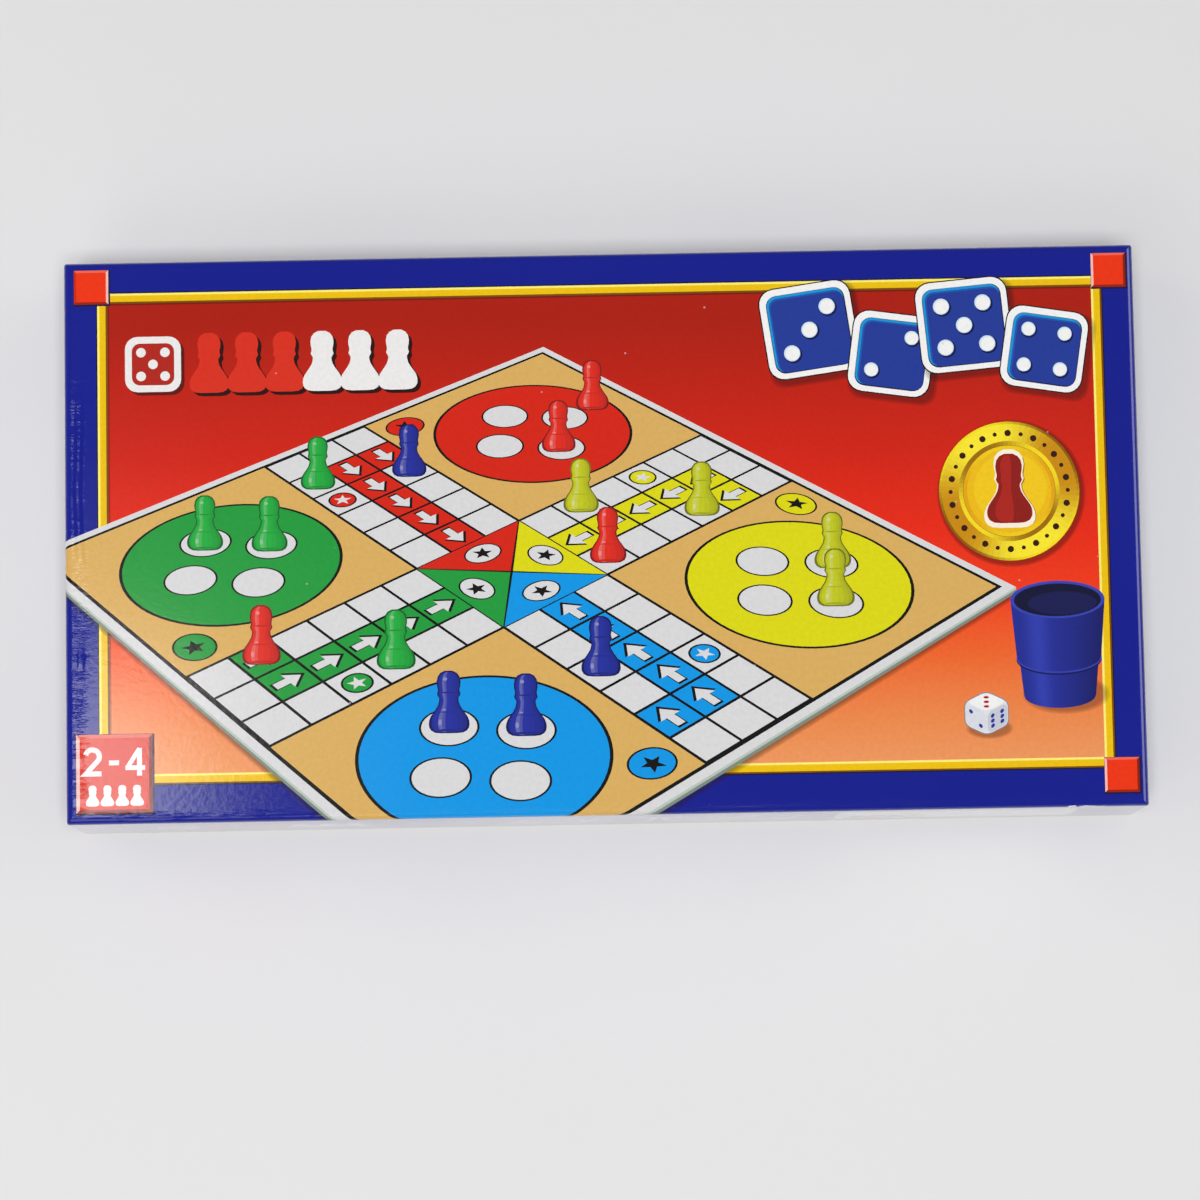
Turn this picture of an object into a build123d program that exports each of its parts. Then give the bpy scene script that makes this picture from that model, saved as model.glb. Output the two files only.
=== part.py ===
from build123d import *

import os

# A ludo game in its carton: a lid that slips down over a base, a board folded once that lies
# on the shoulders of a folded insert, dividers, sixteen pawns, a shaker cup and a die.
#
# X runs along the carton, Y across it from front to back, Z up.  The origin is the middle of
# the carton's underside.  All sizes are in millimetres.

# ---------------------------------------------------------------- driving sizes
# Carton.  Its length and width follow from the board that it holds.
box_height = 40.0  # outside, with the lid on
card = 1.0  # folded card of the lid and of the base
fold_inside = 0.8  # inside radius of a crease along the top or the bottom
corner_extra = 0.3  # an upright fold is this much rounder than a crease
lid_play = 0.5  # gap between the lid's walls and the base, each side
lid_foot_gap = 1.5  # the lid's rim ends this far above the table
lid_seat_gap = 0.3  # between the lid's ceiling and the folded board
board_seat_gap = 0.3  # between the folded board and what it lies on

# Glued tabs and seams at the corners of lid and base
tab_reach = 16.0
tab_inset = 2.0  # a tab ends this far short of rim and crease
seam_width = 0.3
seam_depth = 0.4
seam_from_fold = 0.6  # from the end of the upright fold

# Playing board, square when open, folded once with the printed faces together
board_side = 264.0
board_core = 2.0
board_paper = 0.15
fold_gap = 0.10  # between the two faces when folded
spine_gap = 0.15  # from the hinge line to the edge of each half
board_play = 1.0  # between the board's ends and the lid's corner tabs
board_side_room = 4.0  # between the folded board and the lid's long walls, for the spine to turn
tape_reach = 12.0  # the hinge tape runs this far onto each back
tape_thickness = 0.2
tape_end_inset = 1.0

# Insert: one sheet folded into two shoulders with a well between them
sheet = 0.8
bend_inside = 0.5
insert_play = 0.2
shoulder_width = 48.0
slot_play = 0.2  # extra width of the half-lap slots

# Pawn, from the foot up
pawn_foot_r = 5.2
pawn_foot_bevel = 0.5
pawn_rim_height = 3.6
pawn_belly_rise = 4.0
pawn_shoulder_r = 3.6
pawn_step = 0.45
pawn_neck_rise = 4.35
pawn_neck_r = 2.0
pawn_neck_sweep = 0.3  # share of the neck's taper that is left at half its height
pawn_collar_flare = 0.9
pawn_collar_band = 1.0
pawn_collar_r = 3.0
pawn_head_rise = 2.8  # from the collar's top to the head's centre
pawn_head_r = 2.9
pawn_head_join = 1.6  # the ball meets the collar this far below its centre
pawn_pitch = 18.0  # between the pawns of one set

# Shaker cup, lying on its side
cup_length = 38.0
cup_headroom = 1.8  # from the top of the cup to the rim of the base
cup_wall = 1.2
cup_floor = 1.6
cup_body = 23.0  # from the mouth to the ring where the wall steps in
cup_step = 0.4
cup_taper = 0.4
cup_foot_round = 1.4
cup_clearance = 0.1  # between the cup and the sheet that it lies on
cup_bay_play = 9.0  # the bay is this much longer than the cup, each end
cup_front = 24.0  # the cup's axis lies this far in front of the middle

# Die
die_side = 12.0
die_round = 1.8
pip_r = 1.1
pip_sink = 0.55
pip_from_edge = 2.9  # from the edge of the die to the centre of the outer pips
die_back = 30.0  # the die lies this far behind the middle

# ---------------------------------------------------------------- worked-out sizes
board_depth = board_side / 2
box_length = board_side + 2 * (board_play + 2 * card)
box_width = board_depth + 2 * (board_side_room + card)
fold_outside = fold_inside + card
corner_inside = fold_inside + corner_extra
corner_outside = corner_inside + card
lid_ceiling = box_height - card
lid_inner_length = box_length - 2 * card
lid_inner_width = box_width - 2 * card

board_half_thickness = board_core + 2 * board_paper
folded_thickness = 2 * board_half_thickness + fold_gap
board_top = lid_ceiling - lid_seat_gap
board_bottom = board_top - folded_thickness
hinge_y = board_depth / 2
hinge_z = board_bottom + folded_thickness / 2

# The base fits inside the lid's walls, and between the tabs glued to the lid's short walls.
base_height = board_bottom - board_seat_gap
base_length = lid_inner_length - 2 * card - 2 * lid_play
base_width = lid_inner_width - 2 * lid_play
base_inner_length = base_length - 2 * card
base_inner_width = base_width - 2 * card

insert_length = base_inner_length - 2 * card - 2 * insert_play
insert_width = base_inner_width - 2 * insert_play
insert_floor = card + sheet
well_end = insert_length / 2 - shoulder_width  # from the middle to a shoulder's inner face
cup_bay = cup_length + 2 * cup_bay_play
bay_divider_x = well_end - cup_bay - sheet / 2
cell_divider_x = (-well_end + bay_divider_x - sheet / 2) / 2
cell_length = cell_divider_x - sheet / 2 + well_end
cell_width = (insert_width - sheet) / 2

os.makedirs("parts", exist_ok=True)


def corners(along, across):
    """The four points at plus and minus a half length and a half width."""
    return [(sx * along, sy * across) for sx in (-1, 1) for sy in (-1, 1)]


# ---------------------------------------------------------------- lid
# Top panel and four walls of one blank.  A tab at each end of the long walls is glued inside
# the short walls, whose raw ends leave a fine seam beside each corner.
lid_side_height = lid_ceiling - lid_foot_gap
with BuildPart() as lid:
    with BuildSketch(Plane.XY.offset(lid_foot_gap)):
        RectangleRounded(box_length, box_width, corner_outside)
    extrude(amount=box_height - lid_foot_gap)
    fillet(lid.faces().sort_by(Axis.Z)[-1].edges(), fold_outside)
    with BuildSketch(Plane.XY.offset(lid_foot_gap)):
        RectangleRounded(lid_inner_length, lid_inner_width, corner_inside)
    extrude(amount=lid_side_height, mode=Mode.SUBTRACT)
    with BuildSketch(Plane.XY.offset(lid_foot_gap + tab_inset)):
        with Locations(*corners((lid_inner_length - card) / 2, (lid_inner_width - tab_reach) / 2)):
            Rectangle(card, tab_reach)
    extrude(amount=lid_side_height - 2 * tab_inset)
    with BuildSketch(Plane.XY.offset(lid_foot_gap)):
        with Locations(*corners(box_length / 2, box_width / 2 - corner_outside - seam_from_fold)):
            Rectangle(2 * seam_depth, seam_width)
    extrude(amount=box_height - lid_foot_gap - fold_outside, mode=Mode.SUBTRACT)
lid.part.label = "lid"
export_step(lid.part, "parts/lid.step")

# ---------------------------------------------------------------- base
# The same kind of blank the other way up, smaller by the play all round.
base_side_height = base_height - card
with BuildPart() as base:
    with BuildSketch():
        RectangleRounded(base_length, base_width, corner_outside)
    extrude(amount=base_height)
    fillet(base.faces().sort_by(Axis.Z)[0].edges(), fold_outside)
    with BuildSketch(Plane.XY.offset(card)):
        RectangleRounded(base_inner_length, base_inner_width, corner_inside)
    extrude(amount=base_side_height, mode=Mode.SUBTRACT)
    with BuildSketch(Plane.XY.offset(card + tab_inset)):
        with Locations(
            *corners((base_inner_length - card) / 2, (base_inner_width - tab_reach) / 2)
        ):
            Rectangle(card, tab_reach)
    extrude(amount=base_side_height - 2 * tab_inset)
    with BuildSketch(Plane.XY.offset(fold_outside)):
        with Locations(
            *corners(base_length / 2, base_width / 2 - corner_outside - seam_from_fold)
        ):
            Rectangle(2 * seam_depth, seam_width)
    extrude(amount=base_height - fold_outside, mode=Mode.SUBTRACT)
base.part.label = "base"
export_step(base.part, "parts/base.step")

# ---------------------------------------------------------------- insert
# One sheet: up the outer leg, over the shoulder, down the inner leg, along the floor of the
# well, and the same again.  The route runs along the middle of the sheet.
outer_leg_x = (insert_length - sheet) / 2
inner_leg_x = well_end + sheet / 2
sheet_low = card + sheet / 2
sheet_high = base_height - sheet / 2
insert_route = [
    (-outer_leg_x, card),
    (-outer_leg_x, sheet_high),
    (-inner_leg_x, sheet_high),
    (-inner_leg_x, sheet_low),
    (inner_leg_x, sheet_low),
    (inner_leg_x, sheet_high),
    (outer_leg_x, sheet_high),
    (outer_leg_x, card),
]
with BuildPart() as insert_card:
    with BuildSketch(Plane.XZ.offset(-insert_width / 2)):
        with BuildLine():
            FilletPolyline(*insert_route, radius=bend_inside + sheet / 2)
        trace(line_width=sheet)
    extrude(amount=insert_width)
insert_card.part.label = "insert_card"
export_step(insert_card.part, "parts/insert_card.step")

# ---------------------------------------------------------------- dividers
# They stand in the well.  The long one and the one between the cells cross with half-lap
# slots, and the long one ends at the wall of the cup's bay.
divider_height = base_height - insert_floor
divider_middle = insert_floor + divider_height / 2
divider_start = -well_end + insert_play
divider_length = bay_divider_x - sheet / 2 - divider_start
lap_width = sheet + slot_play

with BuildPart() as divider_long:
    with BuildSketch(Plane.XZ.offset(-sheet / 2)):
        with Locations((divider_start + divider_length / 2, divider_middle)):
            Rectangle(divider_length, divider_height)
        with Locations((cell_divider_x, divider_middle + divider_height / 4)):
            Rectangle(lap_width, divider_height / 2, mode=Mode.SUBTRACT)
    extrude(amount=sheet)
divider_long.part.label = "divider_long"
export_step(divider_long.part, "parts/divider_long.step")

with BuildPart() as divider_cells:
    with BuildSketch(Plane.YZ.offset(cell_divider_x - sheet / 2)):
        with Locations((0, divider_middle)):
            Rectangle(insert_width, divider_height)
        with Locations((0, divider_middle - divider_height / 4)):
            Rectangle(lap_width, divider_height / 2, mode=Mode.SUBTRACT)
    extrude(amount=sheet)
divider_cells.part.label = "divider_cells"
export_step(divider_cells.part, "parts/divider_cells.step")

with BuildPart() as divider_bay:
    with BuildSketch(Plane.YZ.offset(bay_divider_x - sheet / 2)):
        with Locations((0, divider_middle)):
            Rectangle(insert_width, divider_height)
    extrude(amount=sheet)
divider_bay.part.label = "divider_bay"
export_step(divider_bay.part, "parts/divider_bay.step")


# ---------------------------------------------------------------- playing board
# Each half is a grey core with a printed paper on its face and a plain one on its back.
# Folded, the faces lie together; the hinge line is where they meet, along the rear edge.
def board_layer(name, low, thickness):
    """One flat layer of a half of the board, from its lower face up."""
    with BuildPart() as layer:
        with BuildSketch(Plane.XY.offset(low)):
            with Locations((0, -spine_gap / 2)):
                Rectangle(board_side, board_depth - spine_gap)
        extrude(amount=thickness)
    layer.part.label = name
    export_step(layer.part, f"parts/{name}.step")


half_layers = [("back", board_paper), ("core", board_core), ("face", board_paper)]
level = board_bottom
for layer_name, layer_thickness in half_layers:
    board_layer(f"board_{layer_name}_front", level, layer_thickness)
    level += layer_thickness
level += fold_gap
for layer_name, layer_thickness in reversed(half_layers):
    board_layer(f"board_{layer_name}_rear", level, layer_thickness)
    level += layer_thickness

# Cloth tape round the spine, glued to both backs.
tape_middle_y = hinge_y - tape_reach / 2
with BuildPart() as board_hinge_tape:
    with BuildSketch(Plane.YZ.offset(-board_side / 2 + tape_end_inset)):
        with Locations((tape_middle_y + tape_thickness / 2, hinge_z)):
            Rectangle(tape_reach + tape_thickness, folded_thickness + 2 * tape_thickness)
        with Locations((tape_middle_y, hinge_z)):
            Rectangle(tape_reach, folded_thickness, mode=Mode.SUBTRACT)
    extrude(amount=board_side - 2 * tape_end_inset)
board_hinge_tape.part.label = "board_hinge_tape"
export_step(board_hinge_tape.part, "parts/board_hinge_tape.step")

# ---------------------------------------------------------------- pawns
# A turned shape: bevelled foot, rounded belly, a small step, a waisted neck, a collar and a
# ball head.  The heights follow each other from the foot up.
belly_top = pawn_rim_height + pawn_belly_rise
waist_r = pawn_shoulder_r - pawn_step
waist_z = belly_top + pawn_step
neck_top = waist_z + pawn_neck_rise
neck_middle_r = pawn_neck_r + pawn_neck_sweep * (waist_r - pawn_neck_r)
collar_low = neck_top + pawn_collar_flare
collar_high = collar_low + pawn_collar_band
head_z = collar_high + pawn_head_rise
head_join_r = (pawn_head_r**2 - pawn_head_join**2) ** 0.5
pawn_height = head_z + pawn_head_r


def pawn(name, x, y):
    """One pawn, standing on the floor of the well."""
    with BuildPart() as piece:
        with BuildSketch(Plane(origin=(x, y, insert_floor), x_dir=(1, 0, 0), z_dir=(0, -1, 0))):
            with BuildLine():
                Polyline(
                    (0, 0),
                    (pawn_foot_r - pawn_foot_bevel, 0),
                    (pawn_foot_r, pawn_foot_bevel),
                    (pawn_foot_r, pawn_rim_height),
                )
                TangentArc(
                    (pawn_foot_r, pawn_rim_height), (pawn_shoulder_r, belly_top), tangent=(0, 1)
                )
                Line((pawn_shoulder_r, belly_top), (waist_r, waist_z))
                ThreePointArc(
                    (waist_r, waist_z),
                    (neck_middle_r, (waist_z + neck_top) / 2),
                    (pawn_neck_r, neck_top),
                )
                Polyline(
                    (pawn_neck_r, neck_top),
                    (pawn_collar_r, collar_low),
                    (pawn_collar_r, collar_high),
                    (head_join_r, head_z - pawn_head_join),
                )
                ThreePointArc(
                    (head_join_r, head_z - pawn_head_join), (pawn_head_r, head_z), (0, pawn_height)
                )
                Line((0, pawn_height), (0, 0))
            make_face()
        revolve(axis=Axis((x, y, insert_floor), (0, 0, 1)))
    piece.part.label = name
    export_step(piece.part, f"parts/{name}.step")


left_cells_x = -well_end + cell_length / 2
right_cells_x = cell_divider_x + (sheet + cell_length) / 2
cells_y = (sheet + cell_width) / 2
pawn_cells = {
    "green": (left_cells_x, cells_y),
    "red": (right_cells_x, cells_y),
    "blue": (left_cells_x, -cells_y),
    "yellow": (right_cells_x, -cells_y),
}
for colour, (cell_x, cell_y) in pawn_cells.items():
    for number, (dx, dy) in enumerate(corners(pawn_pitch / 2, pawn_pitch / 2), start=1):
        pawn(f"{colour}_pawn_{number}", cell_x + dx, cell_y + dy)

# ---------------------------------------------------------------- shaker cup
# It lies in its bay with the mouth towards the pawns and fills the height of the well.  The
# wall steps in at a ring and tapers a little to the foot.
bay_middle = bay_divider_x + (sheet + cup_bay) / 2
cup_r = (base_height - insert_floor - cup_clearance - cup_headroom) / 2
cup_mouth_x = bay_middle - cup_length / 2
cup_axis_z = insert_floor + cup_clearance + cup_r
cup_foot_r = cup_r - cup_step - cup_taper
cup_origin = (cup_mouth_x, -cup_front, cup_axis_z)
with BuildPart() as dice_cup:
    with BuildSketch(Plane(origin=cup_origin, x_dir=(1, 0, 0), z_dir=(0, -1, 0))):
        with BuildLine():
            Polyline(
                (cup_length - cup_floor, 0),
                (cup_length - cup_floor, cup_foot_r - cup_wall),
                (cup_body, cup_r - cup_step - cup_wall),
                (0, cup_r - cup_wall),
                (0, cup_r),
                (cup_body, cup_r),
                (cup_body + cup_step, cup_r - cup_step),
                (cup_length - cup_foot_round, cup_foot_r),
            )
            RadiusArc(
                (cup_length - cup_foot_round, cup_foot_r),
                (cup_length, cup_foot_r - cup_foot_round),
                cup_foot_round,
            )
            Polyline(
                (cup_length, cup_foot_r - cup_foot_round),
                (cup_length, 0),
                (cup_length - cup_floor, 0),
            )
        make_face()
    revolve(axis=Axis(cup_origin, (1, 0, 0)))
dice_cup.part.label = "dice_cup"
export_step(dice_cup.part, "parts/dice_cup.step")

# ---------------------------------------------------------------- die
# Opposite faces add up to seven.  A face is given by its outward direction and one edge's.
die_centre = Vector(bay_middle, die_back, insert_floor + die_side / 2)
pip_pitch = die_side / 2 - pip_from_edge
die_faces = {
    6: ((0, 0, 1), (0, 1, 0)),
    1: ((0, 0, -1), (0, 1, 0)),
    4: ((0, -1, 0), (1, 0, 0)),
    3: ((0, 1, 0), (1, 0, 0)),
    5: ((1, 0, 0), (0, 1, 0)),
    2: ((-1, 0, 0), (0, 1, 0)),
}
pip_patterns = {
    1: [(0, 0)],
    2: [(-1, -1), (1, 1)],
    3: [(-1, -1), (0, 0), (1, 1)],
    4: [(-1, -1), (-1, 1), (1, -1), (1, 1)],
    5: [(-1, -1), (-1, 1), (0, 0), (1, -1), (1, 1)],
    6: [(-1, -1), (0, -1), (1, -1), (-1, 1), (0, 1), (1, 1)],
}
with BuildPart() as die:
    with BuildSketch(Plane.XY.offset(insert_floor)):
        with Locations((bay_middle, die_back)):
            Rectangle(die_side, die_side)
    extrude(amount=die_side)
    fillet(die.edges(), die_round)
    for value, (outward, along) in die_faces.items():
        pip_centre = die_centre + Vector(outward) * (die_side / 2 + pip_r - pip_sink)
        with Locations(Plane(origin=pip_centre, x_dir=along, z_dir=outward)):
            with Locations(*[(a * pip_pitch, b * pip_pitch) for a, b in pip_patterns[value]]):
                Sphere(pip_r, mode=Mode.SUBTRACT)
die.part.label = "die"
export_step(die.part, "parts/die.step")
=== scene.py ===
"""A ludo game in its printed carton: lid, base, insert, folding board, pawns, shaker cup and die."""

import math
from contextlib import contextmanager

import bmesh
import bpy
from bpy.props import FloatProperty, FloatVectorProperty, PointerProperty
from mathutils import Matrix, Vector
from mathutils.geometry import delaunay_2d_cdt


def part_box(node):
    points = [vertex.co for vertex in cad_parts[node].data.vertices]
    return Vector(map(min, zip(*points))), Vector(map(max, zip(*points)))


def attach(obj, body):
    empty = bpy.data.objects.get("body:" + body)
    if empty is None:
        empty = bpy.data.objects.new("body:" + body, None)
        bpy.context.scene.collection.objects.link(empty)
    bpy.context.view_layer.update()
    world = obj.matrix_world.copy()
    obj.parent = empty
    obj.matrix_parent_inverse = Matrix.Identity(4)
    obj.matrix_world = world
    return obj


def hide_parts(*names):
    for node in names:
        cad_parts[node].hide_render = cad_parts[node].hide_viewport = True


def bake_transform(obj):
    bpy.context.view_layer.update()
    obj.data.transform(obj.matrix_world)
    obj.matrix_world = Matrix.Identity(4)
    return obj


bl_info = {
    "name": "Ludo Carton",
    "version": (1, 0, 0),
    "blender": (4, 5, 0),
    "location": "View3D > Sidebar > Ludo Carton",
    "description": "Builds a ludo game in its printed carton, one piece at a time",
    "category": "Add Mesh",
}

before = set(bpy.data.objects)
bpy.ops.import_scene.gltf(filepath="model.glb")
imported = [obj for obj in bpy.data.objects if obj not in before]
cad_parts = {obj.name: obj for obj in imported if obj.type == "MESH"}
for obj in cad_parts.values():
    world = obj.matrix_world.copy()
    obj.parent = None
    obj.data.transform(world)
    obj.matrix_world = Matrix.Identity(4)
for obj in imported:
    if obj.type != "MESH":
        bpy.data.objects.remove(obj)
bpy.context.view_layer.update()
lid_low, lid_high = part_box("lid")
base_low, base_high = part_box("base")
face_low, face_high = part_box("board_face_front")
rear_low, rear_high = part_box("board_face_rear")
tape_low, tape_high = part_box("board_hinge_tape")
cup_low, cup_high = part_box("dice_cup")
die_low, die_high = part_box("die")

MM = 0.001


def linear(code):
    """A colour written as red, green and blue in two hex digits each, as the renderer counts light."""
    parts = [int(code[place : place + 2], 16) / 255 for place in (0, 2, 4)]
    return tuple(p / 12.92 if p <= 0.04045 else ((p + 0.055) / 1.055) ** 2.4 for p in parts)


def length(name, description, default):
    return FloatProperty(name=name, description=description, default=default, min=0, unit="LENGTH")


def colour(name, description, code):
    return FloatVectorProperty(
        name=name, description=description, subtype="COLOR", size=3, min=0, max=1, default=linear(code)
    )


class CartonSizes(bpy.types.PropertyGroup):
    card: length("Card", "Thickness of the folded card of lid and base", 0.001)
    crease: length("Crease", "Outside radius of a fold along the top or the bottom", 0.0016)
    corner: length("Corner", "Outside radius of an upright fold", 0.0007)
    seam: length("Seam", "Width of the gap beside each glued corner", 0.0003)
    seam_depth: length("Seam Depth", "How deep that gap is", 0.00035)
    seam_inset: length("Seam Inset", "From the end of an upright fold to the middle of the seam", 0.0020)
    tab: length("Tab", "How far a glued corner tab reaches", 0.016)
    tab_inset: length("Tab Inset", "A tab ends this far short of the rim and of the panel", 0.002)


class PlaySizes(bpy.types.PropertyGroup):
    board_margin: length("Board Margin", "White paper round the squares of the playing board", 0.0046)
    pawn_height: length("Pawn Height", "From the foot to the top of the head", 0.020)
    cup_wall: length("Cup Wall", "Thickness of the shaker cup", 0.0012)
    die_round: length("Die Rounding", "Radius of the edges of the die", 0.0023)
    pip: length("Pip", "Radius of the ball that a pip is sunk with", 0.0011)
    pip_depth: length("Pip Depth", "How deep that ball is sunk", 0.00055)
    pip_inset: length("Pip Inset", "From an edge of the die to the middle of its outer pips", 0.0031)


class Inks(bpy.types.PropertyGroup):
    blue: colour("Border Blue", "Border and walls of the lid", "0b198c")
    gold: colour("Line Yellow", "The frame line and the medallion", "eec202")
    red: colour("Red", "Red squares and pieces", "d4230f")
    green: colour("Green", "Green squares and pieces", "1f9a3c")
    sky: colour("Sky Blue", "Blue squares of the board", "0496e4")
    yellow: colour("Yellow", "Yellow squares of the board", "dcd80c")
    tan: colour("Tan", "The yards of the board", "d9ae60")
    white: colour("White", "Unprinted paper", "d9d9da")
    black: colour("Black", "Fine lines", "0c0b0a")


class Plastics(bpy.types.PropertyGroup):
    green: colour("Green Pawns", "Colour of the green pawns", "1d9c3c")
    red: colour("Red Pawns", "Colour of the red pawns", "cf1f18")
    blue: colour("Blue Pawns", "Colour of the blue pawns", "1c2a9c")
    yellow: colour("Yellow Pawns", "Colour of the yellow pawns", "c9cf22")
    cup: colour("Cup", "Colour of the shaker cup", "1b2684")
    die: colour("Die", "Colour of the die", "eeece4")


# ---------------------------------------------------------------- shaping by hand


def only(piece):
    """Selects one piece and nothing else."""
    if bpy.context.mode != "OBJECT":
        bpy.ops.object.mode_set(mode="OBJECT")
    bpy.ops.object.select_all(action="DESELECT")
    piece.select_set(True)
    bpy.context.view_layer.objects.active = piece


@contextmanager
def shaping(piece):
    """Edit mode on one piece, for as long as the block lasts."""
    only(piece)
    bpy.ops.object.mode_set(mode="EDIT")
    yield
    bpy.ops.object.mode_set(mode="OBJECT")


def pick_edges(piece, test):
    """In edit mode, selects the edges that pass the test."""
    bpy.ops.mesh.select_mode(type="EDGE")
    bpy.ops.mesh.select_all(action="DESELECT")
    mesh = bmesh.from_edit_mesh(piece.data)
    for edge in mesh.edges:
        if test(edge):
            edge.select_set(True)
    mesh.select_flush_mode()
    bmesh.update_edit_mesh(piece.data)


def block(name, low, high):
    """A cube stretched between two corners, with its place in its mesh."""
    middle = [(a + b) / 2 for a, b in zip(low, high)]
    size = [b - a for a, b in zip(low, high)]
    bpy.ops.object.select_all(action="DESELECT")
    bpy.ops.mesh.primitive_cube_add(size=1, location=middle, scale=size)
    piece = bpy.context.object
    piece.name = piece.data.name = name
    bpy.ops.object.transform_apply(location=True, rotation=True, scale=True)
    return piece


def drawn(name, points, edges=(), faces=()):
    """A new piece from points in millimetres."""
    mesh = bpy.data.meshes.new(name)
    mesh.from_pydata([[c * MM for c in p] for p in points], edges, faces)
    piece = bpy.data.objects.new(name, mesh)
    bpy.context.collection.objects.link(piece)
    return piece


def thicken(piece, thickness, second=0):
    """Gives a sheet its thickness on the inside. second is the finish of the inner face and the rim."""
    only(piece)
    solid = piece.modifiers.new("thickness", "SOLIDIFY")
    solid.thickness = thickness
    solid.offset = -1
    solid.use_even_offset = True
    solid.material_offset = second
    solid.material_offset_rim = second
    bpy.ops.object.modifier_apply(modifier=solid.name)


def join(piece, others):
    """Makes one mesh of several pieces."""
    only(piece)
    for other in others:
        other.select_set(True)
    bpy.ops.object.join()
    return piece


def smooth(piece, angle=30):
    """Shades smoothly across edges that bend by less than the angle, in degrees."""
    only(piece)
    bpy.ops.object.shade_smooth_by_angle(angle=math.radians(angle))


def finish_with(piece, *finishes):
    """Gives a piece these finishes and no other."""
    piece.data.materials.clear()
    for finish in finishes:
        piece.data.materials.append(finish)


def settle(piece, body, slot, *nodes):
    """Hangs a finished piece on its body in place of its plain solids."""
    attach(piece, body)
    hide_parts(*nodes)


# ---------------------------------------------------------------- finishes


class Finish:
    """A material built up node by node on Object coordinates."""

    def __init__(self, name, tint=(0.8, 0.8, 0.8), roughness=0.5, **sockets):
        self.material = bpy.data.materials.new(name)
        self.material.use_nodes = True
        self.tree = self.material.node_tree
        self.shader = self.tree.nodes["Principled BSDF"]
        self.shader.inputs["Base Color"].default_value = (*tint, 1)
        self.shader.inputs["Roughness"].default_value = roughness
        for socket, value in sockets.items():
            self.shader.inputs[socket.replace("_", " ")].default_value = value
        self.material.diffuse_color = (*tint, 1)
        self.place = self.add("TexCoord").outputs["Object"]

    def add(self, kind, settings=None, **sockets):
        """A new node. What it is fed is a number, a colour or another node's output."""
        node = self.tree.nodes.new("ShaderNode" + kind)
        for setting, value in (settings or {}).items():
            setattr(node, setting, value)
        for socket, value in sockets.items():
            self.feed(node.inputs[socket.replace("_", " ")], value)
        return node

    def feed(self, socket, value):
        if isinstance(value, bpy.types.NodeSocket):
            self.tree.links.new(value, socket)
        elif hasattr(value, "__len__") and len(value) == 3 and len(socket.default_value) == 4:
            socket.default_value = (*value, 1)
        else:
            socket.default_value = value

    def set(self, socket, value):
        self.feed(self.shader.inputs[socket], value)

    def stretched(self, scale, turn=(0, 0, 0)):
        return self.add("Mapping", Vector=self.place, Scale=scale, Rotation=turn).outputs["Vector"]

    def noise(self, scale, detail, roughness=0.5, place=None):
        place = place or self.place
        node = self.add("TexNoise", Vector=place, Scale=scale, Detail=detail, Roughness=roughness)
        return node.outputs["Fac"]

    def spots(self, scale):
        """Distance from scattered points, for specks and flecks."""
        return self.add("TexVoronoi", Vector=self.place, Scale=scale).outputs["Distance"]

    def work_out(self, operation, first, second):
        node = self.add("Math", {"operation": operation})
        self.feed(node.inputs[0], first)
        self.feed(node.inputs[1], second)
        return node.outputs[0]

    def plus(self, first, second):
        return self.work_out("ADD", first, second)

    def minus(self, first, second):
        return self.work_out("SUBTRACT", first, second)

    def times(self, first, second):
        return self.work_out("MULTIPLY", first, second)

    def between(self, value, low, high, to_low=0.0, to_high=1.0):
        """value taken from the range low to high into another range, and held there."""
        ends = {"From_Min": low, "From_Max": high, "To_Min": to_low, "To_Max": to_high}
        node = self.add("MapRange", {"interpolation_type": "SMOOTHSTEP"}, Value=value, **ends)
        return node.outputs["Result"]

    def ramp(self, value, stops):
        node = self.add("ValToRGB", Fac=value)
        band = node.color_ramp
        while len(band.elements) < len(stops):
            band.elements.new(0.5)
        for element, (place, shade) in zip(band.elements, stops):
            element.position = place
            element.color = (*shade, 1)
        return node.outputs["Color"]

    def mix(self, share, first, second, blend="MIX"):
        node = self.add("Mix", {"data_type": "RGBA", "blend_type": blend})
        self.feed(node.inputs["Factor"], share)
        self.feed(node.inputs[6], first)
        self.feed(node.inputs[7], second)
        return node.outputs[2]

    def bump(self, height, distance, strength, under=None):
        """A normal raised by height, on top of the normal under it."""
        node = self.add("Bump", Height=height, Distance=distance, Strength=strength)
        if under is not None:
            self.feed(node.inputs["Normal"], under)
        return node.outputs["Normal"]

    def axes(self):
        node = self.add("SeparateXYZ", Vector=self.place)
        return node.outputs[0], node.outputs[1], node.outputs[2]


def red_ground(card, across):
    """Red at the back, running to orange and to peach towards the front."""
    reach = 0.064
    height = card.between(across, -reach, reach)
    height.node.interpolation_type = "LINEAR"
    drift = card.plus(height, card.times(card.noise(14, 2), 0.05))
    shades = [
        (0.03, linear("ee9f66")),
        (0.15, linear("ec8a4c")),
        (0.27, linear("ee682c")),
        (0.39, linear("f03c16")),
        (0.52, linear("e8290f")),
        (0.68, linear("d0200c")),
        (0.95, linear("ac1a06")),
    ]
    return card.ramp(drift, shades)


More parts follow.
